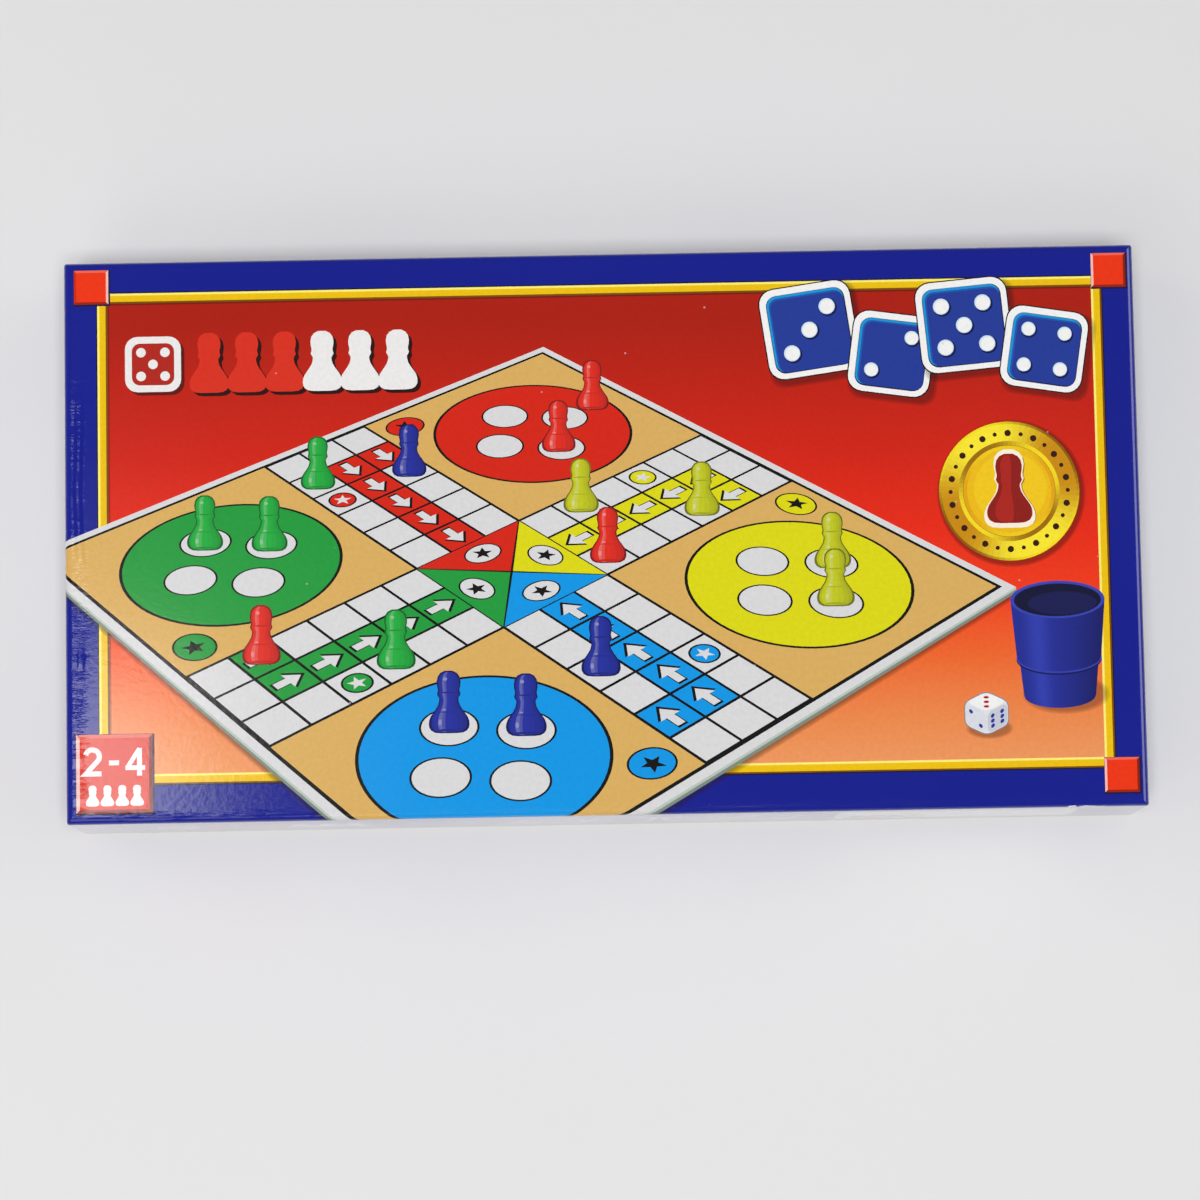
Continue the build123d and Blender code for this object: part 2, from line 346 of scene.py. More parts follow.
def wrinkled_film(card, normal, axes):
    """The film has sunk and crept into fine creases beside the left and front folds, short of the back."""
    along, across, up = axes
    left, front, top = lid_low.x, lid_low.y, lid_high.z
    on_top = card.between(up, top - 0.0020, top - 0.0008)
    on_top = card.times(on_top, card.between(across, lid_high.y - 0.025, lid_high.y - 0.041))
    waver = card.times(card.minus(card.noise(30, 2, 0.5), 0.5), 0.0030)
    from_left = card.plus(along, waver)
    rise = card.between(from_left, left + 0.0022, left + 0.0034)
    fall = card.between(from_left, left + 0.0038, left + 0.0050)
    sunk = card.times(card.minus(rise, fall), card.between(card.noise(28, 2), 0.40, 0.56))
    normal = card.bump(card.times(sunk, on_top), 0.00016, 0.9, normal)
    crept = card.noise(150, 4, 0.7, card.stretched((0.35, 2.2, 1)))
    beside_left = card.between(from_left, left + 0.0065, left + 0.0032)
    beside_front = card.between(across, front + 0.0038, front + 0.0018)
    near = card.times(card.work_out("MAXIMUM", beside_left, beside_front), on_top)
    return card.bump(card.times(near, card.between(crept, 0.45, 0.65)), 0.00006, 0.8, normal)


def laminated_print(name, ground=False, wrinkled=False):
    """Printed card under a glossy film. The inks are in the mesh's ink attribute."""
    card = Finish(name, roughness=0.18, Specular_IOR_Level=0.3, Coat_Weight=0.85, Coat_Roughness=0.10)
    inks = card.add("Attribute", {"attribute_name": "ink", "attribute_type": "GEOMETRY"})
    print_colour = inks.outputs["Color"]
    axes = card.axes()
    if ground:
        # The ink's alpha says how much of the ground shows.
        blend = red_ground(card, axes[1])
        share = card.add("CombineColor")
        for part in ("Red", "Green", "Blue"):
            card.feed(share.inputs[part], inks.outputs["Alpha"])
        washed = card.mix(1.0, blend, share.outputs[0], "MULTIPLY")
        print_colour = card.mix(1.0, print_colour, washed, "ADD")
    grain = card.between(card.noise(900, 3, 0.6), 0.3, 0.7, 0.965, 1.03)
    print_colour = card.mix(1.0, print_colour, grain, "MULTIPLY")
    # A few specks of dust lie on the film.
    speck = card.between(card.spots(95), 0.030, 0.018)
    print_colour = card.mix(card.times(speck, 0.55), print_colour, (0.55, 0.53, 0.55))
    card.set("Base Color", print_colour)
    rubbed = card.between(card.noise(22, 4, 0.6), 0.3, 0.75, 0.13, 0.21)
    card.set("Roughness", card.plus(rubbed, card.times(speck, 0.3)))
    normal = card.bump(card.noise(9, 1, 0.4), 0.0016, 0.35)
    normal = card.bump(card.noise(650, 3, 0.6), 0.00003, 0.6, normal)
    if wrinkled:
        normal = wrinkled_film(card, normal, axes)
    card.set("Normal", normal)
    card.set("Coat Normal", normal)
    return card.material


def raw_card(name, tint="c9c2b4", fibre=0.5):
    """Unprinted card with fibres and flecks in it."""
    card = Finish(name, linear(tint), 0.85, Specular_IOR_Level=0.25)
    cloud = card.between(card.noise(70, 4, 0.6), 0.3, 0.7, 0.93, 1.05)
    fibres = card.noise(500, 5, 0.7, card.stretched((1, 3.2, 1)))
    tone = card.mix(1.0, linear(tint), cloud, "MULTIPLY")
    tone = card.mix(card.between(fibres, 0.55, 0.75, 0, 0.22 * fibre), tone, linear("8d8474"))
    fleck = card.between(card.spots(260), 0.10, 0.05)
    tone = card.mix(card.times(fleck, 0.35 * fibre), tone, linear("6f675a"))
    card.set("Base Color", tone)
    card.set("Roughness", card.between(fibres, 0.3, 0.7, 0.78, 0.92))
    normal = card.bump(card.noise(26, 2, 0.5), 0.0008, 0.3)
    card.set("Normal", card.bump(fibres, 0.00008, 0.8, normal))
    return card.material


def coated_card(name, tint="dcdad3"):
    """White clay-coated card, faintly marked by handling."""
    card = Finish(name, linear(tint), 0.5, Specular_IOR_Level=0.4)
    cloud = card.between(card.noise(45, 4, 0.55), 0.3, 0.7, 0.955, 1.03)
    tone = card.mix(1.0, linear(tint), cloud, "MULTIPLY")
    rub = card.noise(130, 5, 0.7, card.stretched((1, 5, 1), (0, 0, 0.4)))
    tone = card.mix(card.between(rub, 0.62, 0.74, 0, 0.18), tone, linear("9b958c"))
    card.set("Base Color", tone)
    card.set("Roughness", card.between(card.noise(60, 3), 0.3, 0.7, 0.42, 0.6))
    normal = card.bump(card.noise(18, 2, 0.5), 0.0010, 0.35)
    card.set("Normal", card.bump(card.noise(700, 3, 0.6), 0.00003, 0.6, normal))
    return card.material


def chipboard():
    """The grey core of the board, with its plies and torn fibres at the cut edge."""
    board = Finish("chipboard", linear("8f8980"), 0.9, Specular_IOR_Level=0.2)
    plies = board.noise(240, 4, 0.6, board.stretched((1, 1, 14)))
    tone = board.ramp(plies, [(0.25, linear("6e685f")), (0.5, linear("938d83")), (0.75, linear("b3ada2"))])
    fleck = board.between(board.spots(300), 0.12, 0.05)
    board.set("Base Color", board.mix(board.times(fleck, 0.5), tone, linear("54565e")))
    board.set("Normal", board.bump(plies, 0.0002, 0.8))
    return board.material


def leatherette():
    """Dark blue paper embossed with a fine linen grain."""
    paper = Finish("leatherette", linear("1a2350"), 0.55, Specular_IOR_Level=0.45)
    one = paper.add("TexWave", {"bands_direction": "X"}, Vector=paper.place, Scale=330, Distortion=2.0)
    other = paper.add("TexWave", {"bands_direction": "Y"}, Vector=paper.place, Scale=330, Distortion=2.0)
    for wave in (one, other):
        wave.inputs["Detail Scale"].default_value = 3
    grain = paper.times(one.outputs["Fac"], other.outputs["Fac"])
    cloud = paper.between(paper.noise(30, 4), 0.3, 0.7, 0.82, 1.15)
    tone = paper.mix(1.0, paper.mix(grain, linear("141b42"), linear("27336e")), cloud, "MULTIPLY")
    scuff = paper.between(paper.noise(85, 5, 0.7), 0.66, 0.78, 0, 0.35)
    paper.set("Base Color", paper.mix(scuff, tone, linear("5b668f")))
    paper.set("Roughness", paper.between(grain, 0, 1, 0.62, 0.45))
    paper.set("Normal", paper.bump(grain, 0.00010, 0.7))
    return paper.material


def book_cloth():
    """Woven cloth tape, black, with its threads along and across the hinge."""
    cloth = Finish("book_cloth", linear("14161f"), 0.8, Sheen_Weight=0.25, Sheen_Roughness=0.5)
    warp = cloth.add("TexWave", {"bands_direction": "X"}, Vector=cloth.place, Scale=480, Distortion=0.6)
    weft = cloth.add("TexWave", {"bands_direction": "Y"}, Vector=cloth.place, Scale=480, Distortion=0.6)
    weave = cloth.work_out("MAXIMUM", warp.outputs["Fac"], weft.outputs["Fac"])
    worn = cloth.between(cloth.noise(60, 4, 0.6), 0.4, 0.75, 0, 0.4)
    tone = cloth.mix(weave, linear("0b0c12"), linear("262a3a"))
    cloth.set("Base Color", cloth.mix(worn, tone, linear("3c4154")))
    cloth.set("Roughness", cloth.between(weave, 0, 1, 0.9, 0.7))
    cloth.set("Normal", cloth.bump(weave, 0.00012, 0.8))
    return cloth.material


def moulded(name, tint, roughness=0.32, soft=0.06):
    """Injection moulded plastic with flow clouds, fine scratches and a slightly uneven gloss."""
    plastic = Finish(name, tint, roughness, Subsurface_Weight=soft, Subsurface_Scale=0.002)
    cloud = plastic.between(plastic.noise(160, 3, 0.5), 0.3, 0.7, 0.9, 1.08)
    tone = plastic.mix(1.0, tint, cloud, "MULTIPLY")
    scratch = plastic.noise(900, 4, 0.7, plastic.stretched((1, 1, 0.15), (0.3, 0.2, 0.5)))
    pale = [min(1.0, c * 0.7 + 0.12) for c in tint]
    plastic.set("Base Color", plastic.mix(plastic.between(scratch, 0.66, 0.76, 0, 0.12), tone, pale))
    gloss = plastic.noise(240, 4, 0.6)
    plastic.set("Roughness", plastic.between(gloss, 0.3, 0.7, roughness - 0.07, roughness + 0.1))
    normal = plastic.bump(plastic.noise(110, 2), 0.0002, 0.25)
    plastic.set("Normal", plastic.bump(scratch, 0.00001, 0.35, normal))
    return plastic.material


def table_top():
    """Pale painted board, faintly clouded and specked."""
    table = Finish("table_top", linear("e3e3e3"), 0.55, Specular_IOR_Level=0.3)
    cloud = table.between(table.noise(2.2, 3, 0.5), 0.3, 0.7, 0.985, 1.01)
    tone = table.mix(1.0, linear("e3e3e3"), cloud, "MULTIPLY")
    speck = table.between(table.spots(7), 0.0045, 0.003)
    table.set("Base Color", table.mix(table.times(speck, 0.5), tone, linear("66645f")))
    table.set("Normal", table.bump(table.noise(300, 3, 0.5), 0.00006, 0.3))
    return table.material


# ---------------------------------------------------------------- outlines, in millimetres

QUARTERS = ((1, 1), (-1, 1), (-1, -1), (1, -1))
CORNERS = ((-1, -1), (-1, 1), (1, -1), (1, 1))


def oval(x, y, across, up=None, count=36):
    """A circle, or an oval where its height up differs from its width across."""
    up = across if up is None else up
    angles = [math.tau * step / count for step in range(count)]
    return [(x + across * math.cos(a), y + up * math.sin(a)) for a in angles]


def arc_of(x, y, radius, start, end, steps):
    """Points of an arc between two angles in degrees."""
    angles = [math.radians(start + (end - start) * k / steps) for k in range(steps + 1)]
    return [(x + radius * math.cos(a), y + radius * math.sin(a)) for a in angles]


def oblong(x0, y0, x1, y1):
    """A rectangle between two corners."""
    return [(x0, y0), (x1, y0), (x1, y1), (x0, y1)]


def soft_box(x, y, width, height, radius, turn=0.0):
    """A rectangle with rounded corners about its middle, turned by some degrees."""
    points = []
    for quarter, (sx, sy) in enumerate(QUARTERS):
        middle = (sx * (width / 2 - radius), sy * (height / 2 - radius))
        points += arc_of(*middle, radius, 90 * quarter, 90 * quarter + 90, 5)
    return at(x, y, turn)(points)


def star(x, y, radius):
    """A five-pointed star."""
    waist = 0.42
    points = []
    for step in range(10):
        a = math.pi / 2 + math.tau * step / 10
        r = radius * waist if step % 2 else radius
        points.append((x + r * math.cos(a), y + r * math.sin(a)))
    return points


def arrow(x, y, size):
    """A block arrow that points up."""
    shape = [(-0.16, -0.5), (0.16, -0.5), (0.16, 0), (0.40, 0), (0, 0.5), (-0.40, 0), (-0.16, 0)]
    return [(x + px * size, y + py * size) for px, py in shape]


def stroke(points, width):
    """A line of even width through the points, with mitred bends."""
    left, right = [], []
    for k, point in enumerate(points):
        here = Vector(point)
        before = (here - Vector(points[k - 1])).normalized() if k else None
        after = (Vector(points[k + 1]) - here).normalized() if k + 1 < len(points) else None
        along = ((before or after) + (after or before)).normalized()
        side = Vector((-along.y, along.x))
        reach = width / 2 / max(0.4, along.dot(after or before))
        left.append(tuple(here + side * reach))
        right.append(tuple(here - side * reach))
    return right + left[::-1]


def area_of(outline):
    """More than nothing for an outline that runs counterclockwise."""
    return sum(a[0] * b[1] - b[0] * a[1] for a, b in zip(outline, outline[1:] + outline[:1])) / 2


def mixed(first, second, share):
    """A colour on the way from the first to the second."""
    return tuple(a + (b - a) * share for a, b in zip(first, second))


def at(x, y, turn=0.0):
    """Takes a small drawing's own points to a place on the sheet, turned by some degrees."""
    c, s = math.cos(math.radians(turn)), math.sin(math.radians(turn))
    return lambda outline: [(x + c * px - s * py, y + s * px + c * py) for px, py in outline]


# The ink that lets the red ground show.
GROUND = (0.0, 0.0, 0.0, 1.0)


class Print:
    """Inks laid over each other on a flat sheet, then pressed into one mesh without overlaps."""

    def __init__(self, paper):
        self.areas = []
        self.paper = (*paper, 0.0)
        self.on = [lambda outline: outline]

    def lay(self, outline, ink, cover=1.0):
        """Lays an ink over what is there. cover is less than 1 for a thin ink."""
        for place in reversed(self.on):
            outline = place(outline)
        if area_of(outline) < 0:
            outline = outline[::-1]
        self.areas.append((outline, ink if len(ink) == 4 else (*ink, 0.0), cover))

    def glow(self, draw, ink, cover):
        """The same outline drawn larger and larger, for a soft shadow. draw takes 0 to 1."""
        steps = 4
        for step in range(steps, 0, -1):
            self.lay(draw(step / steps), ink, cover / steps)

    @contextmanager
    def placed(self, place):
        """What is drawn in this block is taken to another place on the sheet."""
        self.on.append(place)
        yield
        self.on.pop()

    def pressed(self, sheet, lines):
        """(points, faces, ink of each face) of the sheet. Lines are followed by edges and carry no ink."""
        points, faces, edges = [], [], []
        for outline in [sheet] + [area[0] for area in self.areas]:
            faces.append(list(range(len(points), len(points) + len(outline))))
            points += outline
        for line in lines:
            edges += [(len(points) + k, len(points) + k + 1) for k in range(len(line) - 1)]
            points += line
        found = delaunay_2d_cdt([Vector(p) for p in points], edges, faces, 1, 1e-4)
        kept, inks = [], []
        for face, owners in zip(found[2], found[5]):
            if 0 not in owners:
                continue
            ink = self.paper
            for owner in sorted(owners):
                if owner:
                    _, over, cover = self.areas[owner - 1]
                    ink = over if cover == 1 else mixed(ink, over, cover)
            kept.append(list(face))
            inks.append(ink)
        used = sorted({k for face in kept for k in face})
        number = {old: new for new, old in enumerate(used)}
        return [tuple(found[0][k]) for k in used], [[number[k] for k in face] for face in kept], inks


def ink_mesh(piece, inks, paper):
    """Writes each face's ink into the mesh. Faces past the list are plain paper."""
    layer = piece.data.color_attributes.new("ink", "FLOAT_COLOR", "CORNER")
    shades = []
    for face in piece.data.polygons:
        ink = inks[face.index] if face.index < len(inks) else (*paper, 0.0)
        shades += list(ink) * face.loop_total
    layer.data.foreach_set("color", shades)


# ---------------------------------------------------------------- drawings

PAWN_HALF = [
    (0.120, 0.000), (0.205, 0.010), (0.262, 0.045), (0.290, 0.095), (0.296, 0.150), (0.290, 0.205),
    (0.268, 0.265), (0.228, 0.330), (0.186, 0.395), (0.156, 0.455), (0.142, 0.515), (0.140, 0.560),
    (0.158, 0.590), (0.172, 0.625), (0.160, 0.660), (0.158, 0.700), (0.170, 0.760), (0.174, 0.820),
    (0.160, 0.900), (0.120, 0.960), (0.055, 0.995),
]


def pawn_band(x, y, height, low, high):
    """The part of a pawn's picture between two shares of its half width."""
    one = [(x + height * high * r, y + height * z) for r, z in PAWN_HALF]
    other = [(x + height * low * r, y + height * z) for r, z in PAWN_HALF]
    return one + other[::-1]


def draw_pawn(art, x, y, height, tint, flat=False):
    """A pawn seen from the side, lit from the left."""
    dark = mixed(tint, (0.0, 0.0, 0.01), 0.72)
    grown = height * 1.045
    art.lay(pawn_band(x, y - height * 0.022, grown, -1.09, 1.09), tint if flat else dark)
    if flat:
        return
    light = mixed(tint, (1, 1, 1), 0.30)
    tones = [
        (-1.0, -0.86, mixed(tint, dark, 0.22)),
        (-0.86, -0.62, tint),
        (-0.62, -0.40, mixed(tint, light, 0.35)),
        (-0.40, -0.22, mixed(tint, light, 0.18)),
        (-0.22, 0.15, tint),
        (0.15, 0.48, mixed(tint, dark, 0.10)),
        (0.48, 0.78, mixed(tint, dark, 0.24)),
        (0.78, 1.0, mixed(tint, dark, 0.38)),
    ]
    for low, high, tone in tones:
        art.lay(pawn_band(x, y, height, low, high), tone)
    shade, crease, shine = mixed(tint, dark, 0.45), mixed(tint, dark, 0.30), mixed(tint, light, 0.8)
    details = [
        (0, 0.655, 0.130, 0.014, 16, shade),
        (0, 0.030, 0.200, 0.020, 20, shade),
        (0, 0.330, 0.190, 0.010, 20, crease),
        (-0.06, 0.88, 0.035, 0.030, 14, shine),
        (-0.08, 0.37, 0.030, 0.014, 14, shine),
        (-0.15, 0.16, 0.030, 0.050, 14, shine),
    ]
    for px, py, wide, tall, count, tone in details:
        spot = oval(x + height * px, y + height * py, height * wide, height * tall, count)
        art.lay(spot, tone)


def draw_pawn_row(art, x, y, step, height, codes, flat=False):
    """Pawns side by side, each in its own colour."""
    for k, code in enumerate(codes):
        draw_pawn(art, x + step * k, y, height, linear(code), flat)


PIPS = {
    1: [(0, 0)],
    2: [(-1, -1), (1, 1)],
    3: [(-1, -1), (0, 0), (1, 1)],
    4: [(-1, -1), (-1, 1), (1, -1), (1, 1)],
    5: [(-1, -1), (-1, 1), (1, -1), (1, 1), (0, 0)],
    6: [(-1, -1), (-1, 0), (-1, 1), (1, -1), (1, 0), (1, 1)],
}


def draw_tile(art, x, y, size, turn, value):
    """A tilted blue tile with white pips, a white edge and a shadow."""
    dark, white = linear("1a0806"), linear("f4f4f2")

    def tile(right, down, wider, radius):
        return soft_box(x + right, y - down, size + wider, size + wider, radius, turn)

    art.glow(lambda k: tile(1.0, 1.2, 3.4 + 2.2 * k, 3.6), dark, 0.75)
    for right, down, wider, radius, ink in (
        (0, 0, 4.1, 4.0, dark),
        (0, 0, 3.5, 3.8, white),
        (0.1, 0.15, 0.5, 2.7, linear("0c1440")),
        (0, 0, 0, 2.5, linear("1795d6")),
        (0.30, 0.34, -0.5, 2.3, linear("1c55ad")),
        (0.55, 0.60, -0.9, 2.1, linear("223a97")),
    ):
        art.lay(tile(right, down, wider, radius), ink)
    with art.placed(at(x, y, turn)):
        for px, py in PIPS[value]:
            cx, cy = px * size * 0.27, py * size * 0.27
            art.lay(oval(cx + 0.25, cy - 0.3, size * 0.118, count=24), linear("0d1650"))
            art.lay(oval(cx, cy, size * 0.105, count=24), linear("cfe6f4"))
            art.lay(oval(cx + 0.08, cy - 0.08, size * 0.088, count=24), white)


def draw_emblem(art, x, y, size):
    """A white tile and a row of small red and white pawns, with a shadow."""
    dark, white, red = linear("2a0805"), linear("ecebe9"), linear("d8301c")
    shift = 0.06 * size
    middle, tall = y + size * 0.5, size * 1.02
    outer, inner = size * 0.98, size * 0.74
    art.lay(soft_box(x + shift, middle - shift, outer, outer, size * 0.22), dark, 0.8)
    art.lay(soft_box(x, middle, outer, outer, size * 0.22), white)
    art.lay(soft_box(x, middle, inner, inner, size * 0.14), linear("b02418"))
    for px, py in PIPS[5]:
        art.lay(oval(x + px * size * 0.21, y + size * (0.5 + 0.21 * py), size * 0.085, count=18), white)
    for k in range(6):
        px = x + size * (0.98 + 0.66 * k)
        draw_pawn(art, px + shift, y - shift, tall, dark, flat=True)
        draw_pawn(art, px, y, tall, red if k < 3 else white, flat=True)


def draw_raised_box(art, x0, y0, x1, y1, edge, tint, lit=-1):
    """A square that looks raised. lit is -1 for light from the left and 1 for light from the right."""
    black = (0.02, 0, 0)
    pale, deep = mixed(tint, (1, 0.82, 0.78), 0.62), mixed(tint, black, 0.72)
    left, right = (pale, deep) if lit < 0 else (mixed(tint, black, 0.35), pale)
    above, below = mixed(tint, (1, 0.6, 0.5), 0.18), mixed(tint, black, 0.62)
    a0, b0, a1, b1 = x0 + edge, y0 + edge, x1 - edge, y1 - edge
    art.lay(oblong(x0 - 0.1, y0 - 0.45, x1 + 0.45, y1 + 0.1), linear("14103c"))
    art.lay([(x0, y0), (a0, b0), (a0, b1), (x0, y1)], left)
    art.lay([(x0, y1), (a0, b1), (a1, b1), (x1, y1)], above)
    art.lay([(x1, y1), (a1, b1), (a1, b0), (x1, y0)], right)
    art.lay([(x1, y0), (a1, b0), (a0, b0), (x0, y0)], below)
    art.lay(oblong(a0, b0, a1, b1), tint)


def ringed(art, outline, black, tint):
    """A shape in a colour with a fine black line round it. outline takes its growth."""
    art.lay(outline(1), black)
    art.lay(outline(0), tint)


def draw_board_quarter(art, tint, tan, white, black):
    """One yard of a ludo board, the lane to the right of it and that lane's way home."""
    art.lay(oblong(0, 0, 5.96, 5.96), tan)
    ringed(art, lambda k: oval(3.0, 3.05, 2.43 + 0.07 * k, count=72), black, tint)
    for dx, dy in ((-1.08, 0), (1.08, 0), (0, -1.08), (0, 1.08)):
        ringed(art, lambda k: oval(3 + dx, 3.05 + dy, 0.555 + 0.045 * k, count=32), black, white)
    for column in range(6, 9):
        for row in range(6):
            own = (column == 7 and row > 0) or (column == 6 and row == 1)
            cell = oblong(column + 0.035, row + 0.035, column + 0.965, row + 0.965)
            art.lay(cell, tint if own else white)
            if own:
                art.lay(arrow(column + 0.5, row + 0.5, 0.80), black)
                art.lay(arrow(column + 0.5, row + 0.48, 0.64), white)
    ringed(art, lambda k: oval(8.5, 2.5, 0.295 + 0.045 * k, count=24), black, tint)
    art.lay(star(8.5, 2.5, 0.22), white)
    ringed(art, lambda k: oval(5.22, 0.68, 0.475 + 0.045 * k, 0.415 + 0.045 * k, 32), black, tint)
    art.lay(star(5.22, 0.66, 0.27), black)
    art.lay([(6.02, 6), (8.98, 6), (7.5, 7.46)], tint)
    ringed(art, lambda k: oval(7.5, 6.50, 0.43 + 0.04 * k, 0.32 + 0.04 * k, 32), black, white)
    art.lay(star(7.5, 6.49, 0.24), black)


def draw_board(art, inks, margin):
    """The squares of a ludo board, 15 to a side, in squares from its corner. margin is the white rim."""
    white, black = tuple(inks.white), tuple(inks.black)
    art.lay(oblong(-margin, -margin, 15 + margin, 15 + margin), white)
    art.lay(oblong(-0.09, -0.09, 15.09, 15.09), black)
    for quarter, tint in enumerate((inks.sky, inks.yellow, inks.red, inks.green)):
        c, s = [(1, 0), (0, 1), (-1, 0), (0, -1)][quarter]

        def turned(outline, c=c, s=s):
            shifted = [(x - 7.5, y - 7.5) for x, y in outline]
            return [(7.5 + c * x - s * y, 7.5 + s * x + c * y) for x, y in shifted]

        with art.placed(turned):
            draw_board_quarter(art, tuple(tint), tuple(inks.tan), white, black)


def seen_aslant(corners):
    """Takes squares of the board, 0 to 15, to a picture of it in perspective between four corners."""
    (x0, y0), (x1, y1), (x2, y2), (x3, y3) = corners
    dx1, dx2, dx3 = x1 - x2, x3 - x2, x0 - x1 + x2 - x3
    dy1, dy2, dy3 = y1 - y2, y3 - y2, y0 - y1 + y2 - y3
    den = dx1 * dy2 - dx2 * dy1
    g, h = (dx3 * dy2 - dx2 * dy3) / den, (dx1 * dy3 - dx3 * dy1) / den
    a, b = x1 - x0 + g * x1, x3 - x0 + h * x3
    d, e = y1 - y0 + g * y1, y3 - y0 + h * y3

    def place(outline):
        found = []
        for u, v in outline:
            u, v = u / 15, v / 15
            w = g * u + h * v + 1
            found.append(((a * u + b * v + x0) / w, (d * u + e * v + y0) / w))
        return found

    return place


def board_corners(middle, side, turn, rise, pull):
    """The four corners of a square lying turned on a table, drawn in perspective."""
    corners = []
    c, s = math.cos(math.radians(turn)), math.sin(math.radians(turn))
    for sx, sy in ((-0.5, -0.5), (0.5, -0.5), (0.5, 0.5), (-0.5, 0.5)):
        across, away = c * sx - s * sy, s * sx + c * sy
        scale = side / (1 + pull * away)
        corners.append((middle[0] + scale * across, middle[1] + scale * rise * away))
    return corners


def draw_cover_board(art, inks):
    """The board in perspective, with the pawns that stand on it."""
    place = seen_aslant(board_corners((-23, -9.5), 169, 40, 0.56, 0.30))
    near, right, _, left = place([(-0.3, -0.3), (15.3, -0.3), (15.3, 15.3), (-0.3, 15.3)])

    def rim(side_drop, near_drop):
        """The board's edge below its two near sides."""
        lower = [(left[0], left[1] - side_drop), (near[0], near[1] - near_drop)]
        return [left, *lower, (right[0], right[1] - side_drop), right, near]

    art.glow(lambda k: rim(1.6 + 1.2 * k, 2.2 + 1.8 * k), linear("240c08"), 0.8)
    art.lay(rim(1.4, 1.9), linear("7c8c80"))
    art.lay(rim(0.6, 0.9), linear("b9c4ba"))
    with art.placed(place):
        draw_board(art, inks, 0.3)
    green, red = linear("22ac40"), linear("e02c1c")
    blue, lime = linear("24309c"), linear("c2c81e")
    standing = [
        (lime, 10.5, 8.5), (red, 14.08, 12.0), (red, 12.0, 10.97), (green, 6.5, 13.5),
        (blue, 8.5, 12.5), (green, 3.0, 13.02), (green, 4.08, 12.0), (lime, 12.5, 6.5),
        (lime, 12.0, 1.97), (lime, 13.08, 3.0), (red, 1.5, 8.5), (red, 9.5, 6.5),
        (green, 3.5, 6.5), (blue, 4.08, 3.05), (blue, 3.0, 4.13), (blue, 6.5, 3.5),
    ]
    # The farther pawns are drawn first, and a little smaller.
    feet = [(place([(u, v)])[0], tint) for tint, u, v in standing]
    for (x, y), tint in sorted(feet, key=lambda foot: -foot[0][1]):
        draw_pawn(art, x, y - 1.2, 13.4 - 0.035 * y, tint)


def draw_cup(art, x, y):
    """A dark blue cup with a step in its wall, standing."""
    art.glow(lambda k: oval(x + 1.6, y + 0.2, 9.2 + 1.8 * k, 3.9 + 1.1 * k), linear("50200c"), 0.7)
    top, foot, rim, step = 24.0, 9.0, 11.8, 9.0
    flat = 0.36  # a round of the wall is this much lower than it is wide
    dark, body, light = linear("161c66"), linear("222c90"), linear("3442b4")

    def edge_of(level, r, shares):
        return [(x + r * f, y + level - flat * r * math.sqrt(max(0, 1 - f * f))) for f in shares]

    bands = 28
    for k in range(bands):
        low, high = -1 + 2 * k / bands, -1 + 2 * (k + 1) / bands
        lit = math.exp(-((low + 0.50) ** 2) / 0.06)
        tone = mixed(mixed(body, dark, max(0.0, low + 0.1) ** 1.2), light, 0.75 * lit)
        shares = (low, (low + high) / 2, high)
        for y0, y1, r0, r1 in ((0.0, step, foot, foot + 0.9), (step, top, foot + 1.5, rim)):
            art.lay(edge_of(y0, r0, shares) + edge_of(y1, r1, shares)[::-1], tone)
    for level, r, ink in ((step, foot + 1.5, "10164e"), (step + 0.5, foot + 1.55, "3442b0")):
        curve = [(px, y + level + flat * py) for px, py in arc_of(x, 0, r, 180, 360, 24)]
        art.lay(stroke(curve, 0.35), linear(ink))
    art.lay(oval(x, y + top, rim, rim * 0.40, count=48), linear("3644b0"))
    art.lay(oval(x, y + top - 0.1, rim - 0.9, rim * 0.40 - 0.6, count=48), linear("0d1034"))
    art.lay(oval(x + 1.2, y + top - 0.9, rim - 3.2, rim * 0.40 - 1.8, count=40), linear("171a50"))


def rounded_corner(before, here, after):
    """Six points of a curve from near the point before to near the point after."""
    start, end = here.lerp(before, 0.26), here.lerp(after, 0.26)
    shares = [k / 5 for k in range(6)]
    return [start * (1 - t) ** 2 + here * 2 * t * (1 - t) + end * t * t for t in shares]


